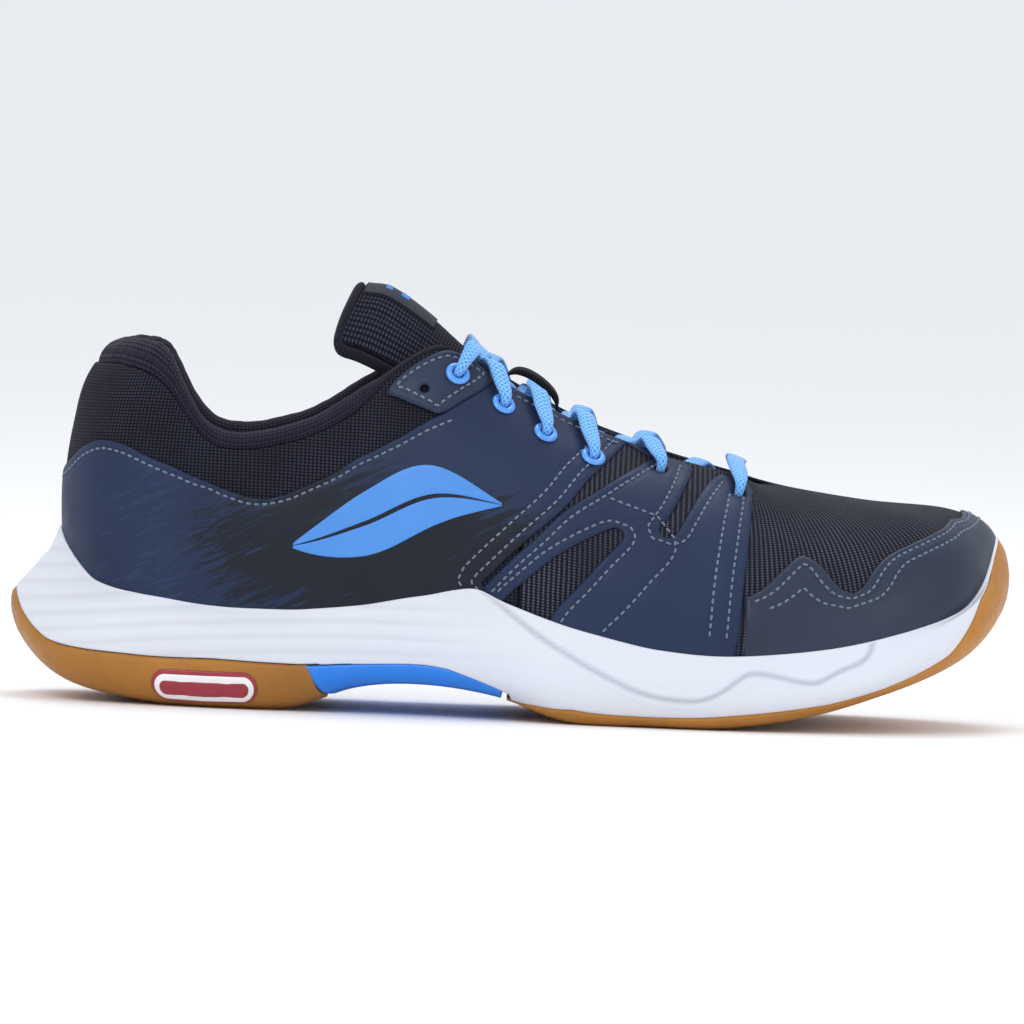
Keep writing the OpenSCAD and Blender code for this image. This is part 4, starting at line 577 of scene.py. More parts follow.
def outsole(name, fore):
    if fore:
        ks = np.unique(np.concatenate([[7.12], np.linspace(7.2, 13, 250), np.linspace(13, 14, 36)])); wf, J, nb = wfore, 14, 120
    else:
        ks = np.unique(np.concatenate([np.linspace(0, 1, 36), np.linspace(1, 4.4, 110)])); wf, J, nb = (lambda k: wheel(np.minimum(4.1, k))), 16, 90
    def cols(u, ws_rel):
        """heel only: the front edge slants"""
        if fore: return np.broadcast_to(u[:, None], ws_rel.shape)
        k = mir(u)[:, None] * (1 + np.maximum(0, mir(u) - 3)[:, None] * 0.025 * (1 - 2*ws_rel)); return np.where((u > 14)[:, None], 28 - k, k)
    def f(u, d, prof):
        wt = wf(mir(u)); rel = np.linspace(1, 0, J + 1)[:-1][None] * np.ones((len(u), 1)); U = cols(u, rel); w = rel * wt[:, None]
        dd = d + (prof * (np.sqrt(np.clip(1 - (1 - np.clip((1 - rel) * wt[:, None] * 5.0 / 0.9, 0, 1))**2, 0, 1)) - 1) if prof else 0)
        P = W(U, w) + np.asarray(dd * np.ones_like(w))[..., None] * WN(U, w)
        u0 = cols(u, np.zeros((len(u), 1)))[:, 0]
        q = WN(u0, 0*u0) + np.array([0, 0, -1.2]); F0 = W(u0, 0*u0) + (d * np.ones(len(u)))[:, None] * unit(q)
        return np.concatenate([P, F0[:, None]], 1)
    th = np.interp(ks, [7.12, 8, 14], [0.6, 2.6, 2.8]) if fore else 3.2 + 0*ks
    def fouter(u): return f(u, 0.22, 0.5)
    def finner(u):
        k = mir(u); t = np.interp(k, [7.12, 8, 14], [0.6, 2.6, 2.8]) if fore else 3.2 + 0*k
        P = f(u, 0.0, 0); Q = f(u, -1.0, 0); w_ = np.append(np.linspace(1, 0, J + 1)[:-1], 0)[None] * wf(k)[:, None]
        return P + (Q - P) * (t[:, None] * (thin(w_) if fore else 1))[..., None]
    B = sect(fouter, ks, nb, 0.0); A = sect(finner, ks, nb, 0.0)
    # the tread: flat pads on the court with grooves 1.3 mm deep; the rims of the pad area fade out
    Jn = J + 1; mid = B[:, Jn:-Jn]
    g = tread(mid, fore)
    edge = np.minimum(np.arange(nb) + 1, nb - np.arange(nb))[None] / 5.0
    mid[..., 2] += 1.25 * g * np.clip(edge, 0, 1)
    lowz = np.maximum(mid[..., 2], 0.0); mid[..., 2] = lowz
    B[:, Jn:-Jn] = mid
    B[..., 2] = np.maximum(B[..., 2], 0.0)
    return slab(name, A, B, GUM2 if fore else GUM, "shoe", replaces=["forefoot_outsole" if fore else "heel_outsole"], slot="gum_rubber", weld=0.03, caps=(True, False) if fore else (False, True))

def shank():
    ks = np.linspace(4.66, 7.04, 70); J = 14
    def f(u, d):
        k = mir(u); wt = wshank(k); e = np.maximum(0, 5.4 - k) / 0.74
        rel = np.linspace(1, 0, J + 1)[:-1][None] * np.ones((len(u), 1)); kk = k[:, None] - 0.46 * e[:, None] * rel
        U = np.where((u > 14)[:, None], 28 - kk, kk); w = rel * wt[:, None]
        P = W(U, w) + d * WN(U, w)
        return np.concatenate([P, foot(u, d * np.ones(len(u)))[:, None]], 1)
    B = sect(lambda u: f(u, 0.1), ks, 40); A = sect(lambda u: f(u, -2.4), ks, 40)
    # three long stiffening ribs under the arch
    Y = B[..., 1]; X = B[..., 0]; J1 = J + 1
    for yc in (-22, -5, 12): B[:, J1:-J1, 2] += 1.1 * np.exp(-((Y[:, J1:-J1] - yc - 0.06*(X[:, J1:-J1] - 125)) / 2.4) ** 2) * sm(0, 6, X[:, J1:-J1] - 102) * sm(148, 140, X[:, J1:-J1])
    return slab("shank_plate", A, B, SHANK, "shoe", replaces=["midfoot_shank"], slot="shank_plastic", weld=0.03)

def badge():
    """plain capsule on the heel rubber: red rim, pale field, no lettering"""
    obs = []
    us = np.linspace(2.28, 3.52, 61)
    def cap(h, inset, lo, hi, name, mat, **kw):
        L = 15.6 - inset; r = 4.4 - inset; n = 48
        pts = []
        for a in np.linspace(0, 2*np.pi, n, endpoint=False):
            cx_ = (L - r) * np.sign(math.cos(a)) if abs(math.cos(a)) > 1e-6 else 0
            pts.append((cx_ + r*math.cos(a), r*math.sin(a)))
        pts = np.array(pts)
        def P3(p, d):
            u = 2.9 + p[:, 0] / 22.5; w = 1.72 + p[:, 1] / 5.6
            return W(u, w) + d * WN(u, w)
        rings = [P3(pts, lo), P3(pts, lo + (hi - lo)*0.7), P3(pts * np.array([1 - 0.25 / L, 1 - 0.25 / r]), hi)]
        for s in (0.8, 0.55, 0.3, 0.08): rings.append(P3(pts * s, hi))
        R = np.stack(rings, 0); F = grid_faces(len(rings), n, wj=True); F.append(list(range(n))[::-1]); F.append([(len(rings) - 1)*n + j for j in range(n)])
        return build(name, R.reshape(-1, 3), F, mat, "shoe", **kw)
    cap(0.9, 0.0, 0.1, 0.75, "badge_rim", BADGE, replaces=["outsole_badge"], slot="badge")
    cap(0.9, 1.0, 0.6, 0.95, "badge_field", BADGE_W, slot="badge")
    cap(0.9, 2.5, 0.85, 1.1, "badge_bar", BADGE, slot="badge")

# ------------------------------------------------------------------ upper
def arr(u, v): return np.meshgrid(u, v, indexing="ij")
def vmaxf(u):
    h = hk(u); return np.where(h < 4.8, 5.3, np.minimum(5.93, 5.3 + (h - 4.8) * 0.85))

def base_shell(name, us, mat, node, pucker=None):
    t = np.linspace(0, 1, 64)
    U = us[:, None] * np.ones((1, 64)); Vv = t[None] * vmaxf(us)[:, None]
    h = hk(us)[:, None]
    A = O(U, Vv, 0 * U); B = O(U, Vv, 0 * U - MESH_T)
    return slab(name, A, B, mat, "shoe", replaces=[node], slot="mesh_navy")

def lining():
    us = np.linspace(0, 28, 281)[:-1]; t = np.linspace(0, 1, 60)
    U = us[:, None] * np.ones((1, 60)); vm = vmaxf(us) - 0.02; Vv = t[None] * vm[:, None]
    A = O(U, Vv, 0*U - MESH_T - 0.03); d = dep(U, Vv) + LINING_T
    # soft wrinkling of the padded collar lining
    wr = 0.35 * np.sin(U * 9.0 + 2.0*np.sin(Vv * 2.2)) * sm(2.6, 3.6, Vv) * (1 - sm(4.6, 5.8, hk(U)))
    B = O(U, Vv, -(d + wr * 0.5))
    return slab("lining_bootie", A, B, LINING, "shoe", wrap=True, replaces=["upper_lining"], slot="lining")

def roll():
    us = np.linspace(-6.1, 6.1, 340); n = 28; au = np.abs(us)
    th = np.interp(au, [0, 3.5, 4.6, 5.4, 6.1], [ROLL_T, ROLL_T, ROLL_T*.75, ROLL_T*.4, ROLL_T*.26])
    vc = np.interp(au, [0, 4.5, 4.8, 5.1, 5.4, 6.1], [5.62, 5.62, 5.64, 5.74, 5.86, 6.02]); vh = np.interp(au, [0, 4.5, 4.8, 5.4, 6.1], [.37, .36, .33, .13, .08])
    c = O(us, vc, -th*0.5 - 0.2); nn = N(us, vc); dd = unit(S(us, vc + 0.1) - S(us, vc - 0.1))
    hgt = np.linalg.norm(S(us, vc + vh) - S(us, vc - vh), axis=-1) * 0.5
    a = np.linspace(0, 2*np.pi, n, endpoint=False)
    wr = 1 + 0.018*np.sin(us * 13)[:, None] + 0.012*np.sin(us*31 + 2)[:, None]
    endt = np.sqrt(np.clip((6.1 - np.abs(us)) / 0.12, 0.02, 1))[:, None]
    R = c[:, None] + nn[:, None] * ((th*0.5 + 0.5)[:, None] * wr * endt * np.cos(a)[None])[..., None] + dd[:, None] * (hgt[:, None] * wr * endt * np.sin(a)[None])[..., None]
    L = arc(c[:, None], 0)[:, 0]
    uv = np.stack([L[:, None] * np.ones((1, n)), np.linspace(0, 26, n)[None] * np.ones((len(us), 1))], -1)
    ob = build("collar_edge_roll", R.reshape(-1, 3), tube_mesh(R), ROLL, "shoe", uv=uv.reshape(-1, 2), replaces=["collar_roll"], slot="collar_knit")
    return ob

# ---- overlays cut from outlines in the (u, v) plane
K = 12.0
def smooth_poly(pts, step=1.1, sharp=50, closed=True):
    P = np.asarray(pts, float) * K; n = len(P); out = []
    def ang(i):
        a = P[i] - P[i-1]; b = P[(i+1) % n] - P[i]
        c = np.dot(a, b) / (np.linalg.norm(a)*np.linalg.norm(b) + 1e-9); return math.degrees(math.acos(np.clip(c, -1, 1)))
    cor = [(ang(i) > sharp) if (closed or 0 < i < n - 1) else True for i in range(n)]
    for i in range(n if closed else n - 1):
        p1, p2 = P[i], P[(i+1) % n]; L = np.linalg.norm(p2 - p1)
        p0 = P[i-1] if not cor[i] else 2*p1 - p2; p3 = P[(i+2) % n] if not cor[(i+1) % n] else 2*p2 - p1
        k = max(1, int(round(L / step)))
        d1 = max(np.linalg.norm(p1-p0), 1e-6)**.5; d2 = max(L, 1e-6)**.5; d3 = max(np.linalg.norm(p3-p2), 1e-6)**.5
        m1 = ((p1-p0)/d1 - (p2-p0)/(d1+d2) + (p2-p1)/d2)*d2; m2 = ((p2-p1)/d2 - (p3-p1)/(d2+d3) + (p3-p2)/d3)*d2
        for a in np.arange(k) / k:
            out.append((2*a**3 - 3*a*a + 1)*p1 + (a**3 - 2*a*a + a)*m1 + (3*a*a - 2*a**3)*p2 + (a**3 - a*a)*m2)
    if not closed: out.append(P[-1])
    return np.array(out) / K

def inside(P, L):
    x, y = P[:, 0], P[:, 1]; r = np.zeros(len(P), bool); n = len(L)
    for i in range(n):
        a, b = L[i], L[(i+1) % n]
        c = (a[1] > y) != (b[1] > y)
        if c.any():
            xx = (b[0]-a[0]) * (y - a[1]) / (b[1] - a[1] + 1e-15) + a[0]; r ^= c & (x < xx)
    return r
def closedL(L): return np.concatenate([L, L[:1]])

def offset_line(L, d):
    """shift an open polyline (m, 2), in plane mm, to its left by d"""
    P = L * K; t = unit(np.gradient(P, axis=0)); nrm = np.stack([-t[:, 1], t[:, 0]], -1); Q = P + nrm * d
    return Q[polydist(Q, P) > abs(d) - 0.08] / K

def runs(line, outline, holes=(), m=4):
    """the parts of a seam that lie on the piece"""
    ok = inside(line, np.asarray(outline))
    for h in holes: ok &= ~inside(line, np.asarray(h))
    out, cur = [], []
    for p, k in zip(line, ok):
        if k: cur.append(p)
        if not k or p is line[-1]:
            if len(cur) > m: out.append(np.array(cur))
            cur = []
    if len(cur) > m: out.append(np.array(cur))
    return out

def overlay(name, outline, holes, seams, base, thick, mat, node, medial=False, spacing=1.7, edge=0.85, slot="synthetic", extra=None, lift=None, body="shoe"):
    """closed solid cut to the outline: rounded edges, holes through it, and a dimple along every seam"""
    loops = [np.asarray(outline) * K] + [np.asarray(h) * K for h in holes]
    lo, hi = loops[0].min(0), loops[0].max(0)
    gx, gy = np.meshgrid(np.arange(lo[0], hi[0], spacing), np.arange(lo[1], hi[1], spacing * 0.87)); gx = gx + (np.arange(gx.shape[0]) % 2)[:, None] * spacing / 2
    cand = [np.stack([gx.ravel(), gy.ravel()], -1)]
    for L in loops:   # rings of points just inside every edge
        t = unit(np.roll(L, -1, 0) - np.roll(L, 1, 0)); nr = np.stack([-t[:, 1], t[:, 0]], -1)
        for d in (0.3, 0.75, 1.3):
            for s in (1, -1): cand.append(L + nr * d * s)
    for sl in seams:
        Q = np.asarray(sl) * K
        if len(Q) > 2:
            t = unit(np.gradient(Q, axis=0)); nr = np.stack([-t[:, 1], t[:, 0]], -1)
            for d in (-1.0, -0.5, 0, 0.5, 1.0): cand.append(Q + nr * d)
    C = np.concatenate(cand)
    ok = inside(C, loops[0])
    for h in loops[1:]: ok &= ~inside(C, h)
    C = C[ok]
    dist = np.full(len(C), 1e9)
    for L in loops: dist = np.minimum(dist, polydist(C, closedL(L)))
    C = C[dist > 0.24]
    # thin the points: keep one per small cell
    key = np.round(C / 0.42).astype(int); _, idx = np.unique(key, axis=0, return_index=True); C = C[np.sort(idx)]
    verts = []; edges = []; 
    for L in loops:
        s = len(verts); m = len(L); verts += [tuple(p) for p in L]; edges += [(s + i, s + (i+1) % m) for i in range(m)]
    nb = len(verts); verts += [tuple(p) for p in C]
    ov, oe, of, _, _, _ = delaunay_2d_cdt([Vector(v) for v in verts], edges, [], 0, 1e-4, False)
    P = np.array([(v.x, v.y) for v in ov]); T = np.array([f for f in of if len(f) == 3])
    cen = P[T].mean(1); keep = inside(cen, loops[0])
    for h in loops[1:]: keep &= ~inside(cen, h)
    T = T[keep]
    used = np.unique(T); rm = -np.ones(len(P), int); rm[used] = np.arange(len(used)); P = P[used]; T = rm[T]
    # boundary vertices of what is left
    e = np.sort(np.concatenate([T[:, [0, 1]], T[:, [1, 2]], T[:, [2, 0]]]), 1); ue, cnt = np.unique(e, axis=0, return_counts=True)
    bv = np.zeros(len(P), bool); bv[ue[cnt == 1].ravel()] = True
    D = np.full(len(P), 1e9)
    for L in loops: D = np.minimum(D, polydist(P, closedL(L)))
    D[bv] = 0
    h = thick * (0.35 + 0.65 * np.sqrt(np.clip(1 - (1 - np.clip(D / edge, 0, 1))**2, 0, 1)))
    for sl in seams:
        if len(sl) > 2: h = h - 0.30 * np.exp(-(polydist(P, np.asarray(sl) * K) / 0.55)**2)
    if lift is not None: h = h + lift(P / K, D)
    u, v = P[:, 0] / K, P[:, 1] / K
    U = 28 - u if medial else u
    top = O(U, v, base + h); bot = O(U, v, base + np.where(bv, 0.0, 0.0) - 0.02)
    n = len(P); V = np.concatenate([top, bot])
    Tt = T[:, ::-1] if medial else T
    be = ue[cnt == 1]
    F = Tt.tolist() + (Tt[:, ::-1] + n).tolist() + [[int(a), int(b), int(b) + n, int(a) + n] for a, b in be]
    sc = np.stack([P[:, 0] * 1.0, P[:, 1] * 1.0], -1)
    return build(name, V, F, mat, body, uv=np.concatenate([sc, sc]), replaces=[node] if node else (), slot=slot)

STITCH = {}
def stitches(group, line, base, medial=False, pitch=2.45, length=1.7, r=0.33, both=True):
    """sewn thread along a seam: one rounded stitch after another, just proud of the leather"""
    L = np.asarray(line); u = 28 - L[:, 0] if medial else L[:, 0]
    P = O(u, L[:, 1], base); s = np.concatenate([[0], np.cumsum(np.linalg.norm(np.diff(P, axis=0), axis=1))])
    if s[-1] < pitch: return
    k = int(s[-1] // pitch); c = (np.arange(k) + 0.5) * s[-1] / k
    ui = lambda a: np.stack([np.interp(a, s, u), np.interp(a, s, L[:, 1])], -1)
    m = ui(c); a = ui(c - length/2); b = ui(c + length/2)
    PC, PA, PB = (O(q[:, 0], q[:, 1], base) for q in (m, a, b)); nn = N(m[:, 0], m[:, 1]); t = unit(PB - PA); sd = np.cross(t, nn)
    prof = [(-1, 0.25, -0.28), (-0.85, 0.75, -0.1), (-0.4, 1.0, 0.06), (0.4, 1.0, 0.06), (0.85, 0.75, -0.1), (1, 0.25, -0.28)]
    ang = np.linspace(0, 2*np.pi, 7, endpoint=False)
    V = np.zeros((k, len(prof), 7, 3))
    for i, (x, rr, z) in enumerate(prof):
        c0 = PC + t * (x * length / 2)[None] if False else PC + t * (x * length / 2) + nn * (z)
        V[:, i] = c0[:, None] + sd[:, None] * (r*rr*np.cos(ang))[None, :, None] + nn[:, None] * (r*rr*np.sin(ang))[None, :, None]
    V = V.reshape(-1, 3); g = STITCH.setdefault(group, [[], []]); off = sum(len(x) for x in g[0])
    one = grid_faces(len(prof), 7, wj=True) + [list(range(7))[::-1], [35 + j for j in range(7)]]
    for q in range(k): g[1].extend([[i + q*42 + off for i in f] for f in one])
    g[0].append(V)
def flush_stitches():
    for gname, (Vs, F) in STITCH.items():
        V = np.concatenate(Vs); z = np.zeros((len(V), 2)); z[:, 0] = np.tile(np.repeat(np.linspace(0, 2, 6), 7), len(V) // 42); z[:, 1] = np.tile(np.linspace(0, 1.6, 7), len(V) // 7)
        build(gname, V, F, THREAD, "shoe", uv=z, slot="synthetic")

HL = [(6.25, 5.4), (6.9, 5.35), (7.5, 5.15), (8.15, 5.05), (9.0, 5.35), (10.05, 5.15)]
def hole_loop(u, v, r, n=26):
    """round hole of radius r mm on the real surface, as a loop in (u, v)"""
    p = S(u, v); du = (S(u + .05, v) - S(u - .05, v)) / .1; dv = (S(u, v + .05) - S(u, v - .05)) / .1
    G = np.array([[du @ du, du @ dv], [du @ dv, dv @ dv]]); ev_, Q = np.linalg.eigh(G); Gi = Q @ np.diag(ev_ ** -0.5) @ Q.T
    a = np.linspace(0, 2*np.pi, n, endpoint=False)
    return np.array([(u, v) + Gi @ np.array([r*math.cos(t), r*math.sin(t)]) for t in a])

def bottom(u0, u1, d=0.42, n=None):
    n = n or max(3, int(abs(u1 - u0) * 10)); us = np.linspace(u0, u1, n); return np.stack([us, np.maximum(bites(us) - d, 0.25)], -1)

def seg(px): return inv(np.array(px, float))

QT = seg([(84,446),(102,440),(122,444),(153,459),(179,470),(209,483),(235,493),(260,499),(281,496),(306,486),(340,470),(357,459),(382,447),(407,434),(434,418),(445,412)])
QF = seg([(626,444),(607,463),(587,482),(564,509),(534,535),(507,559),(482,583)])
F1 = seg([(483,588),(508,563),(535,539),(564,512),(600,490),(630,472),(650,461)])
def overlays(medial):
    sd = "medial" if medial else "lateral"
    B1 = OVER_GAP; B2 = OVER_GAP + OVER_T
    # --- quarter
    top = np.concatenate([[[0.02, 3.02], [0.3, 3.18]], QT, [[6.28, 4.84], [6.42, 5.06], [6.52, 5.3], [6.66, 5.66], [6.74, 5.93]]])
    throat = np.array([[7.4, 5.93], [7.9, 5.93], [8.4, 5.93], [8.95, 5.93]])
    fr = QF.copy(); fr = fr[fr[:, 1] > 1.3]
    outline = np.concatenate([smooth_poly(top, closed=False), throat, smooth_poly(np.concatenate([[[9.05, 5.6]], fr]), closed=False), bottom(7.02, 0.02, n=70)])
    holes = [hole_loop(u, v, BORE/2) for u, v in HL[1:4]]
    tl = smooth_poly(np.concatenate([[[0.02, 3.02], [0.3, 3.18]], QT]), closed=False)
    seam_top = offset_line(tl, -2.0)
    fl = smooth_poly(np.concatenate([[[9.02, 5.75]], fr, [[7.03, 1.15]]]), closed=False)
    s1, s2 = offset_line(fl, -1.6), offset_line(fl, -3.9)
    th = smooth_poly(np.array([[7.05, 5.74], [7.5, 5.74], [8.1, 5.74], [8.85, 5.74]]), closed=False)
    seams = [r_ for s in (seam_top, s1, s2, th) for r_ in runs(s, outline, holes)]
    overlay(sd + "_quarter_panel", outline, holes, seams, B1, OVER_T, LE_P, sd + "_quarter", medial)
    for s in seams: stitches("stitching_" + sd, s, B1 + OVER_T - 0.12, medial)
    # --- forefoot overlay with its two fingers
    f1 = F1[F1[:, 1] > 1.25]
    tops = seg([(658,459),(672,461),(687,465)]); sl1 = seg([(692,470),(686,487),(674,510),(664,524),(659,531),(661,537),(668,539),(675,536),(683,523),(698,498),(713,480)])
    t2 = seg([(720,476),(735,480),(746,485),(752,491)]); rt = seg([(752,500),(750,530),(746,565),(742,600),(738,640)])
    # top corners sit by the throat
    out = np.concatenate([smooth_poly(np.concatenate([f1, tops, sl1, t2, rt]), closed=False, sharp=62), bottom(10.09, 7.06, n=34)])
    win = seg([(606,531),(614,528),(622,531),(623,538),(600,563),(577,588),(556,610),(549,622)]); win2 = seg([(503,604),(507,597),(530,577),(557,556),(588,539)])
    hole = smooth_poly(np.concatenate([win, [[win[-1][0] - 0.02, 0.62], [win2[0][0] + 0.02, 0.66]], win2]), sharp=58)
    rings = [hole_loop(u, v, BORE/2 - 0.3) for u, v in HL[4:6]]
    hs = [hole] + [r_ for r_ in rings]
    a1 = offset_line(smooth_poly(f1, closed=False), -1.5)
    wl = smooth_poly(win, closed=False); wr = smooth_poly(np.concatenate([win2, win[:1]]), closed=False)
    a2 = offset_line(wl, 1.7); a3 = offset_line(wr, 1.7)
    a4 = offset_line(smooth_poly(sl1, closed=False, sharp=170), -1.8)
    a5 = offset_line(smooth_poly(rt, closed=False), -1.7); a6 = offset_line(smooth_poly(rt, closed=False), -4.2)
    a7 = offset_line(a2, 6.2); a8 = offset_line(a4[:len(a4)//2], -4.0)
    a7 = a7[a7[:, 1] > bites(a7[:, 0]) + 0.05]
    seams = [r_ for s in (a1, a2, a3, a4, a5, a6, a7) for r_ in runs(s, out, hs)]
    overlay(sd + "_finger_overlay", out, hs, seams, B1, OVER_T, LE, sd + "_fingers", medial)
    for s in seams:
        s = s[(s[:, 1] > bites(s[:, 0]) + 0.03)]
        if len(s) > 3: stitches("stitching_" + sd, s, B1 + OVER_T - 0.12, medial)
    # --- top tab
    tb = seg([(388,394),(397,381),(409,371),(424,361),(438,354),(449,352),(460,356),(475,366),(488,376),(490,382),(484,390),(463,402),(445,413),(438,415),(428,411),(413,405),(399,399)])
    tb = smooth_poly(tb, sharp=80); tb[:, 1] = np.minimum(tb[:, 1], 5.9)
    hl = [hole_loop(*HL[0], BORE/2), hole_loop(5.83, 5.05, 1.3)]
    cc = tb.mean(0); Pin = tb * K; t_ = unit(np.roll(Pin, -2, 0) - np.roll(Pin, 2, 0)); nr = np.stack([-t_[:, 1], t_[:, 0]], -1)
    sgn = 1 if inside((Pin + nr * 0.5)[:1], Pin)[0] else -1
    ts = (Pin + nr * sgn * 1.7) / K; ts = np.concatenate([ts, ts[:1]])
    overlay(sd + "_tab", tb, hl, [ts], B2 + 0.08, TAB_T, LE_TAB, sd + "_eyestay_tab", medial, spacing=1.4)
    stitches("stitching_" + sd, ts, B2 + 0.08 + TAB_T - 0.12, medial)
    # --- printed leaf, split by a thin vein
    def leafp(t, j): return np.stack([3.95 + t*3.05, 2.45 + 0.8*t + j*0.75*np.sin(np.pi*t**0.85)], -1)
    for k_, (j0, j1) in enumerate(((0.07, 1.0), (-1.0, -0.07))):
        t = np.linspace(0.015, 0.985, 60)
        ol = np.concatenate([leafp(t, j0 if k_ == 0 else j1), leafp(t[::-1], j1 if k_ == 0 else j0)])
        overlay(sd + ("_print_upper" if k_ == 0 else "_print_lower"), ol, [], [], B1 + OVER_T - 0.03, 0.16, PRINT, (sd + "_print") if k_ == 0 else None, medial, spacing=2.2, edge=0.3, slot="print_blue")

TC = seg([(746,597),(752,595),(762,589),(783,570),(797,558),(802,556),(808,558),(820,566),(834,583),(845,592),(853,594),(861,589),(871,574),(882,561),(894,553),(907,547),(920,541),(933,535),(944,529),(952,521)])
def toecap():
    B1 = OVER_GAP
    top = np.concatenate([[[10.11, 2.46]], TC[1:], [[13.55, 3.62], [14.0, 3.78]]])
    lat = smooth_poly(top, closed=False); med = lat[::-1].copy(); med[:, 0] = 28 - med[:, 0]
    line = np.concatenate([lat, med[1:]])
    out = np.concatenate([line, bottom(17.89, 10.11, n=110)])
    ss = runs(offset_line(line, -1.7), out) + runs(offset_line(line, -4.4), out)
    overlay("toe_cap_overlay", out, [], ss, B1, OVER_T, LE_TOE, "toe_cap", False)
    for s in ss: stitches("stitching_toe", s, B1 + OVER_T - 0.12)

def eyelets():
    """enamelled rings: a rolled flange outside and a thin barrel through the layers"""
    Vs, F = [], []; off = 0
    prof = [(BORE/2 - 0.45, -2.2), (BORE/2 - 0.5, 0.3), (BORE/2 - 0.35, 0.75), (BORE/2 + 0.1, 1.0), (BORE/2 + 0.7, 1.02), (RING_OD/2 - 0.35, 0.78), (RING_OD/2, 0.3), (RING_OD/2 - 0.1, 0.0), (BORE/2 + 0.05, -0.05), (BORE/2 - 0.1, -2.2)]
    n = 44; a = np.linspace(0, 2*np.pi, n, endpoint=False)
    for s in (0, 1):
        for i in range(4):
            u = HL[i][0] if s == 0 else 28 - HL[i][0]; v = HL[i][1]; p = S(u, v); nn = N(u, v); x = unit(S(u + .05, v) - p); x = unit(x - nn * (x @ nn)); y = np.cross(nn, x)
            z0 = OVER_GAP + OVER_T + (0.08 + TAB_T if i == 0 else 0.0)
            R = np.stack([p + nn * (z0 + z) + (x * (r * np.cos(a))[:, None] + y * (r * np.sin(a))[:, None]) for r, z in prof])
            Vs.append(R.reshape(-1, 3)); m = len(prof)
            F += [[k + off for k in f] for f in grid_faces(m, n, wi=True, wj=True)]; off += m * n
    return build("eyelet_rings_enamel", np.concatenate(Vs), F, RING, "shoe", replaces=["eyelet_rings"], slot="eyelet_blue")

# ------------------------------------------------------------------ tongue
TCN = np.array([[222,70.5,14,0,-3,3.5],[200,76.5,16,0,-5,4.5],[178,82.5,18,0,-7,5.5],[160,90,19,-1,-9,6.5],[146,99.5,19.5,-2,-12,7.5],[134,109.5,19.5,-4,-15,8.5],[122,119.5,19.5,-6,-18,9],[111.5,126.3,19.5,-8,-19,9],[104.5,127.4,19,-9,-18,7]], float)
def tk(t):
    E = np.concatenate([2*TCN[:1] - TCN[1:2], TCN, 2*TCN[-1:] - TCN[-2:-1]]); t = np.asarray(t, float)
    i = np.clip(np.floor(t).astype(int), 0, 7); w = crw(t - i)
    return sum(w[..., a, None] * E[i + a] for a in range(4))
def T(t, q):
    t, q = np.broadcast_arrays(np.asarray(t, float), np.asarray(q, float)); c = tk(t)
    return np.stack([c[..., 0] + c[..., 3]*q*q, c[..., 2]*q + CY, c[..., 1] + c[..., 4]*q*q], -1)
def TN(t, q, e=0.03): return unit(np.cross(T(t, q + e) - T(t, q - e), T(t + e, q) - T(t - e, q)))
def TO(t, q, d): return T(t, q) + np.asarray(d, float)[..., None] * TN(t, q) if np.ndim(d) else T(t, q) + d * TN(t, q)
def tth(t, q): return tk(t)[..., 5] * (1 - 0.45 * np.asarray(q, float)**4)
FLEX = (125.5, 110.5)

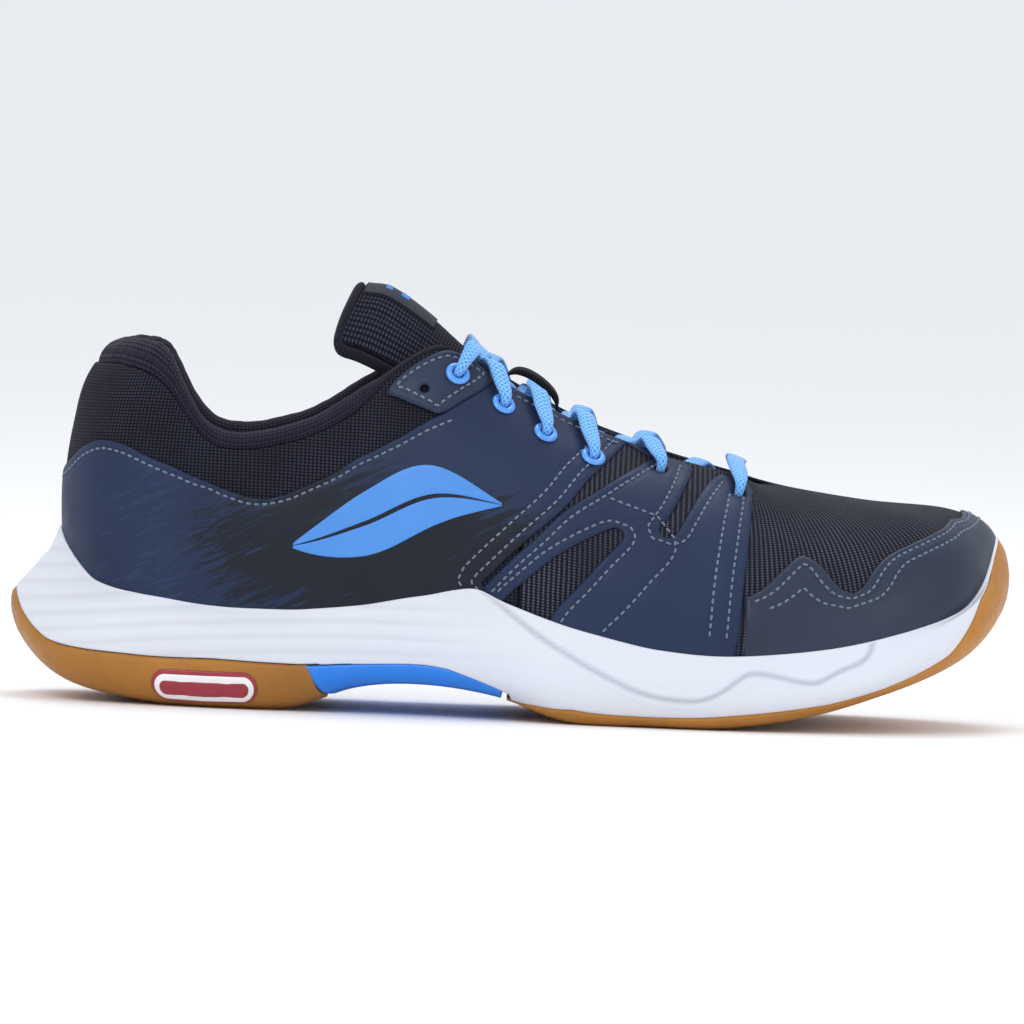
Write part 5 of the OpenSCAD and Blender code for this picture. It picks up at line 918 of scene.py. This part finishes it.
def tongue():
    ts = np.linspace(0.05, 8.12, 170); qs = np.linspace(-0.96, 0.96, 90)
    Tt, Q = np.meshgrid(ts, qs, indexing="ij")
    th = tth(Tt, Q)
    # padded: crowned between the stitched channels
    ch = -0.55*np.exp(-((np.abs(Q) - 0.62) / 0.045)**2) * sm(0.5, 1.5, Tt) + 0.35*(1 - (np.abs(Q) / 0.62)**2) * (np.abs(Q) < 0.62)
    A = TO(Tt.T, Q.T, (0.02 + ch*0.5).T); B = TO(Tt.T, Q.T, (-th - 0.2*np.cos(Q*3)).T)
    ob = slab("tongue_pad", A, B, [MESH_T_, LINING], None, fmA=0, fmB=1, rim=1, replaces=["tongue_mesh", "tongue_foam", "tongue_lining", "tongue_top_mesh", "tongue_top_foam", "tongue_top_lining"], slot="mesh_navy")
    # edge binding, one rolled strip up one side, over the top and down the other
    e = [(t, -1.0) for t in np.linspace(0.25, 7.6, 40)] + [(7.85, -0.985), (8.05, -0.92), (8.18, -0.75), (8.25, -0.45), (8.27, 0.0), (8.25, 0.45), (8.18, 0.75), (8.05, 0.92), (7.85, 0.985)] + [(t, 1.0) for t in np.linspace(7.6, 0.25, 40)]
    e = np.array(e); E3 = cr_path(np.c_[e, np.zeros(len(e))] * [10, 16, 0], 0.8)[:, :2] / [10, 16]
    t, q = E3[:, 0], E3[:, 1]; h = tth(t, q) * np.interp(t, [0, 5, 7, 8.3], [0.55, 0.72, 0.92, 1.0]) + 0.5
    P = TO(t, q, -tth(t, q) / 2); Y = TN(t, q); tg = unit(np.gradient(P, axis=0)); X = unit(np.cross(tg, Y)); Y = np.cross(X, tg)
    R = sweep(P, X, Y, np.interp(t, [0, 5, 8.3], [2.4, 3.0, 3.8]), h, n=20)
    L = arc(P[:, None], 0)[:, 0]; uv = np.stack([L[:, None]*np.ones((1, 20)), np.linspace(0, 16, 20)[None]*np.ones((len(P), 1))], -1)
    bd = build("tongue_edge_binding", R.reshape(-1, 3), tube_mesh(R), BIND, None, uv=uv.reshape(-1, 2), replaces=["tongue_binding"], slot="collar_knit")
    st, en = M(T(5.0, 0.0) + np.array([0, 0, -4])), M(T(6.1, 0.0) + np.array([0, 0, -4]))
    for o in (ob, bd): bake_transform(o)
    # woven label, turned under at both ends, with a plain two-bar device
    ts = np.linspace(5.75, 8.06, 40); qs = np.linspace(-0.36, 0.36, 30); Tt, Q = np.meshgrid(ts, qs, indexing="ij")
    fm = []
    A = TO(Tt.T, Q.T, (0.75 + 0.1*np.cos(Q*4)).T); B = TO(Tt.T, Q.T, 0*Tt.T + 0.15)
    lb = slab("tongue_label_strip", A, B, [LABEL, LABEL_B], "tongue_top", replaces=["tongue_label"], slot="label")
    # two raised woven bars
    for k_, (q0, q1, t0, t1) in enumerate(((-0.2, 0.2, 7.0, 7.22), (-0.2, 0.2, 6.5, 6.72))):
        Tt, Q = np.meshgrid(np.linspace(t0, t1, 8), np.linspace(q0, q1, 16), indexing="ij")
        slab("label_bar_%d" % (k_ + 1), TO(Tt.T, Q.T, 0*Tt.T + 0.98), TO(Tt.T, Q.T, 0*Tt.T + 0.7), LABEL_B, "tongue_top", slot="label")
    # webbing keeper
    a = np.linspace(0, np.pi, 60); Q, A_ = np.meshgrid(np.linspace(-0.24, 0.24, 10), a, indexing="ij")
    rise = 0.15 + 6.8 * np.maximum(0, np.sin(A_)) ** 0.6
    slab("keeper_webbing", TO(3.5 - 0.56*np.cos(A_), Q, rise + 1.8), TO(3.5 - 0.56*np.cos(A_), Q, rise), WEBBING, "tongue", replaces=["lace_keeper_loop"], slot="webbing")

# ------------------------------------------------------------------ lace
def side(u, s): return u if s == 0 else 28 - u
def tx(x): return np.interp(x, [104.5,111.5,122,134,146,160,178,200,222], [8,7,6,5,4,3,2,1,0])
def Sp(u, v, d): return S(np.float64(u), np.float64(v)) + d * N(np.float64(u), np.float64(v))
def Np(u, v): return N(np.float64(u), np.float64(v))
UND = -3.4
def hole_in(i, s, dr):
    u, v = side(HL[i][0], s), HL[i][1]; n = Np(u, v); d = unit(Sp(u, v + 0.2, 0) - Sp(u, v, 0)); up = 4.4 if i == 0 else 3.3
    if dr > 0: return [(Sp(u, v, -3.5), d*0.6 - n*0.4, 3.0, 1.4), (Sp(u, v, -1), d, 2.5, 1.9), (Sp(u, v, up), n - d*0.5, 3.0, 1.7)]
    return [(Sp(u, v, up), n - d*0.5, 3.0, 1.7), (Sp(u, v, -1), d * -1, 2.5, 1.9), (Sp(u, v, -3.5), n*-0.4 - d*0.6, 3.0, 1.4)]
def cross_tongue(s, a, b, top):
    x0, x1 = S(np.float64(side(a, s)), 6.0)[0], S(np.float64(side(b, 1 - s)), 6.0)[0]; g = -1 if s == 0 else 1; out = []
    for k in (-1, -0.5, 0, 0.5, 1):
        t = float(tx((x0 + x1)/2 + (x1 - x0)*k*0.22)); q = -g*k*0.42
        h = (3.3 if top else 1.45) if k == 0 else ((3.0 if top else 1.5) if abs(k) == 0.5 else (2.3 if top else 1.7))
        out.append((TO(np.float64(t), np.float64(q), h), TN(np.float64(t), np.float64(q)), LACE_W, LACE_T))
    return out
def over(i, s, j, top):
    return ([(Sp(side(HL[i][0]-0.1, s), (HL[i][1]+6)/2, 3.4), Np(side(HL[i][0], s), 5.6), LACE_W, LACE_T),
             (Sp(side(HL[i][0]-0.2, s), 6.1, 2.6), Np(side(HL[i][0], s), 6.0), LACE_W, LACE_T)]
            + cross_tongue(s, HL[i][0]-0.2, HL[j][0]+0.15, top)
            + [(Sp(side(HL[j][0]+0.12, 1-s), 6.0, UND), Np(side(HL[j][0], 1-s), 6.0), LACE_W, LACE_T),
               (Sp(side(HL[j][0]+0.04, 1-s), (HL[j][1]+6)/2, UND), Np(side(HL[j][0], 1-s), 5.5), LACE_W*0.8, LACE_T)])
def strand(s):
    return (hole_in(5, s, -1) + [(Sp(side(9.88, s), 5.55, UND), Np(side(9.9, s), 5.5), LACE_W*0.8, LACE_T)]
        + cross_tongue(s, 9.75, 9.25, s == 1) + [(Sp(side(9.15, 1-s), 5.75, UND), Np(side(9.1, 1-s), 5.5), LACE_W*0.8, LACE_T)]
        + hole_in(4, 1-s, 1) + over(4, 1-s, 3, s == 0) + hole_in(3, s, 1) + over(3, s, 2, s == 1)
        + hole_in(2, 1-s, 1) + over(2, 1-s, 1, s == 0) + hole_in(1, s, 1)
        + [(Sp(side(6.8, s), 5.68, 3.4), Np(side(6.8, s), 5.6), LACE_W, LACE_T), (Sp(side(6.68, s), 6.1, 2.7), Np(side(6.7, s), 6.0), LACE_W, LACE_T)]
        + cross_tongue(s, 6.6, 6.4, s == 1) + [(Sp(side(6.38, 1-s), 6.1, 3.6), Np(side(6.4, 1-s), 6.0), LACE_W, LACE_T)]
        + hole_in(0, 1-s, -1)
        + [(Sp(side(6.22, 1-s), 4.9, -3.5), Np(side(6.2, 1-s), 4.9), LACE_W*0.6, LACE_T), (Sp(side(6.1, 1-s), 4.0, -4.0), Np(side(6.1, 1-s), 4.0), LACE_W*0.5, LACE_T)])
def lace_route():
    bar = [(Sp(17.95, 5.65, 3.4), Np(17.95, 5.6), LACE_W, LACE_T), (Sp(17.98, 6.1, 2.8), Np(17.98, 6.0), LACE_W, LACE_T),
           (np.array([217.5, CY, 79.0]), np.array([0.2, 0, 1.0]), LACE_W, LACE_T),
           (Sp(10.02, 6.1, 2.8), Np(10.02, 6.0), LACE_W, LACE_T), (Sp(10.05, 5.65, 3.4), Np(10.05, 5.6), LACE_W, LACE_T)]
    return strand(1)[::-1] + bar + strand(0)

def lace():
    R = lace_route(); P = np.array([np.concatenate([r[0], unit(r[1]), [r[2], r[3]]]) for r in R])
    Q = cr_path(P, 0.9); C = Q[:, :3]
    for _ in range(8): C[1:-1] = C[1:-1]*0.5 + (C[:-2] + C[2:])*0.25
    tg = unit(np.gradient(C, axis=0)); up = Q[:, 3:6]
    X = unit(np.cross(tg, up)); 
    for i in range(1, len(X)):
        if X[i] @ X[i-1] < 0: X[i] = -X[i]
    for _ in range(4): X[1:-1] = unit(X[1:-1]*0.5 + (X[:-2] + X[2:])*0.25)
    X = unit(X - tg * (X * tg).sum(-1, keepdims=True)); Y = np.cross(X, tg)
    w, t = Q[:, 6].copy(), Q[:, 7].copy()
    for _ in range(6): w[1:-1] = w[1:-1]*0.5 + (w[:-2]+w[2:])*0.25; t[1:-1] = t[1:-1]*0.5 + (t[:-2]+t[2:])*0.25
    n = 22; G = sweep(C, X, Y, w, t, n=n, square=2.6)
    L = arc(C[:, None], 0)[:, 0]
    uv = np.stack([L[:, None]*np.ones((1, n)), (np.arange(n)*0.55)[None]*np.ones((len(C), 1))], -1)
    build("lace_braid", G.reshape(-1, 3), tube_mesh(G), LACE, "shoe", uv=uv.reshape(-1, 2), replaces=["lace"], slot="lace_blue")
    Vs, F = [], []; off = 0
    for s in (0, 1):
        a = Sp(side(6.1, 1-s), 3.97, -4.0); b = Sp(side(6.0, 1-s), 2.8, -4.0); d = unit(b - a); x = unit(np.cross(d, [0, 1, 0])); y = np.cross(d, x)
        ang = np.linspace(0, 2*np.pi, 20, endpoint=False); prof = [(0.3, 1.2), (0.5, 1.5), (1.5, 1.5), (12.8, 1.5), (13.8, 1.4), (14.3, 1.0)]
        V = np.concatenate([a + d*l + x*(r*np.cos(ang))[:, None] + y*(r*np.sin(ang))[:, None] for l, r in prof])
        F += [[k + off for k in f] for f in grid_faces(6, 20, wj=True)] + [[off + j for j in range(20)][::-1], [off + 100 + j for j in range(20)]]; Vs.append(V); off += 120
    build("lace_tips", np.concatenate(Vs), F, AGLET, "shoe", replaces=["lace_aglets"], slot="aglet")

def sockliner():
    ks = np.unique(np.concatenate([np.linspace(0, 1, 20), np.linspace(1, 13, 120), np.linspace(13, 14, 24)]))
    def f(z, cup):
        def g(u):
            n = N(u, 0.3 + 0*u); h = unit(n * np.array([1, 1, 0])); p = S(u, 0*u); rows = []
            for d, c in ((4.7, 1.0), (5.6, .85), (6.6, .6), (7.5, .4)): rows.append(p + np.array([0, 0, z + cup*c]) - d*h)
            return np.stack(rows, 1)
        return g
    t, c = 3.6, 1.2
    slab("sockliner_pad", sect(f(0.15 + t, c), ks, 40), sect(f(0.15, c), ks, 40), SOCKF, "sockliner", replaces=["sockliner_foam"], slot="eva_foam", caps=(False, False))
    slab("sockliner_cover", sect(f(1.1 + t, c), ks, 40), sect(f(0.2 + t, c), ks, 40), SOCK, "sockliner", replaces=["sockliner_cloth"], slot="sock_cloth", caps=(False, False))

# ------------------------------------------------------------------ the shoe
midsole(); outsole("heel_rubber", False); outsole("forefoot_rubber", True); shank(); badge()
base_shell("vamp_cloth", np.linspace(7.25, 20.75, 360), MESH_V, "vamp_mesh")
base_shell("collar_cloth", np.linspace(-7.2, 7.2, 400), MESH_C, "collar_mesh")
lining(); roll()
for medial in (False, True): overlays(medial)
toecap(); flush_stitches(); eyelets(); tongue(); lace(); sockliner()

# ------------------------------------------------------------------ studio
def mesh_plane(name, size, z):
    me = bpy.data.meshes.new(name); s = size / 2; me.from_pydata([(-s, -s, z), (s, -s, z), (s, s, z), (-s, s, z)], [], [(0, 1, 2, 3)])
    o = bpy.data.objects.new(name, me); bpy.context.scene.collection.objects.link(o); return o
fl = mesh_plane("floor", 120.0, 0.0); fm_ = Mat("floor_pale"); fm_.set(Base_Color=(0.95, 0.95, 0.95), Roughness=0.6, Specular_IOR_Level=0.2); fl.data.materials.append(fm_.m)
wd = bpy.data.worlds.new("studio"); bpy.context.scene.world = wd; wd.use_nodes = True
bg = wd.node_tree.nodes["Background"]; bg.inputs[0].default_value = (0.93, 0.95, 1.0, 1); bg.inputs[1].default_value = 0.92
def area(name, loc, target, size, energy, col=(1, 1, 1)):
    l = bpy.data.lights.new(name, "AREA"); l.shape = "DISK"; l.size = size; l.energy = energy; l.color = col
    o = bpy.data.objects.new(name, l); bpy.context.scene.collection.objects.link(o); o.location = loc
    o.rotation_euler = (Vector(target) - Vector(loc)).to_track_quat("-Z", "Y").to_euler(); return o
area("key", (-0.55, -1.15, 1.15), (0, 0, 0.05), 0.9, 7.5, (1.0, 0.98, 0.95))
area("fill", (1.1, -0.9, 0.5), (0, 0, 0.05), 0.9, 2.2, (0.93, 0.96, 1.0))
area("top", (0.1, 0.45, 1.3), (0, 0, 0.05), 0.8, 5.0)
cam_d = bpy.data.cameras.new("camera"); cam = bpy.data.objects.new("camera", cam_d); bpy.context.scene.collection.objects.link(cam)
se, ce = math.sin(ELV), math.cos(ELV); up0 = Vector((0, se, ce)); ex = Vector((1, 0, 0))
rt = ex * math.cos(RHO) + up0 * math.sin(RHO); upv = -ex * math.sin(RHO) + up0 * math.cos(RHO); vd = Vector((0, ce, -se))
DIST = 6.0; aim = Vector(M(np.array([150.07, -35.0, 62.3])).tolist()); loc = aim - vd * DIST
cam.matrix_world = Matrix(((rt.x, upv.x, -vd.x, loc.x), (rt.y, upv.y, -vd.y, loc.y), (rt.z, upv.z, -vd.z, loc.z), (0, 0, 0, 1)))
cam_d.sensor_width = 36.0; cam_d.lens = 36.0 * DIST / 0.3072; cam_d.clip_start = 0.1; cam_d.clip_end = 200.0
bpy.context.scene.camera = cam
bpy.context.scene.view_settings.view_transform = "Standard"
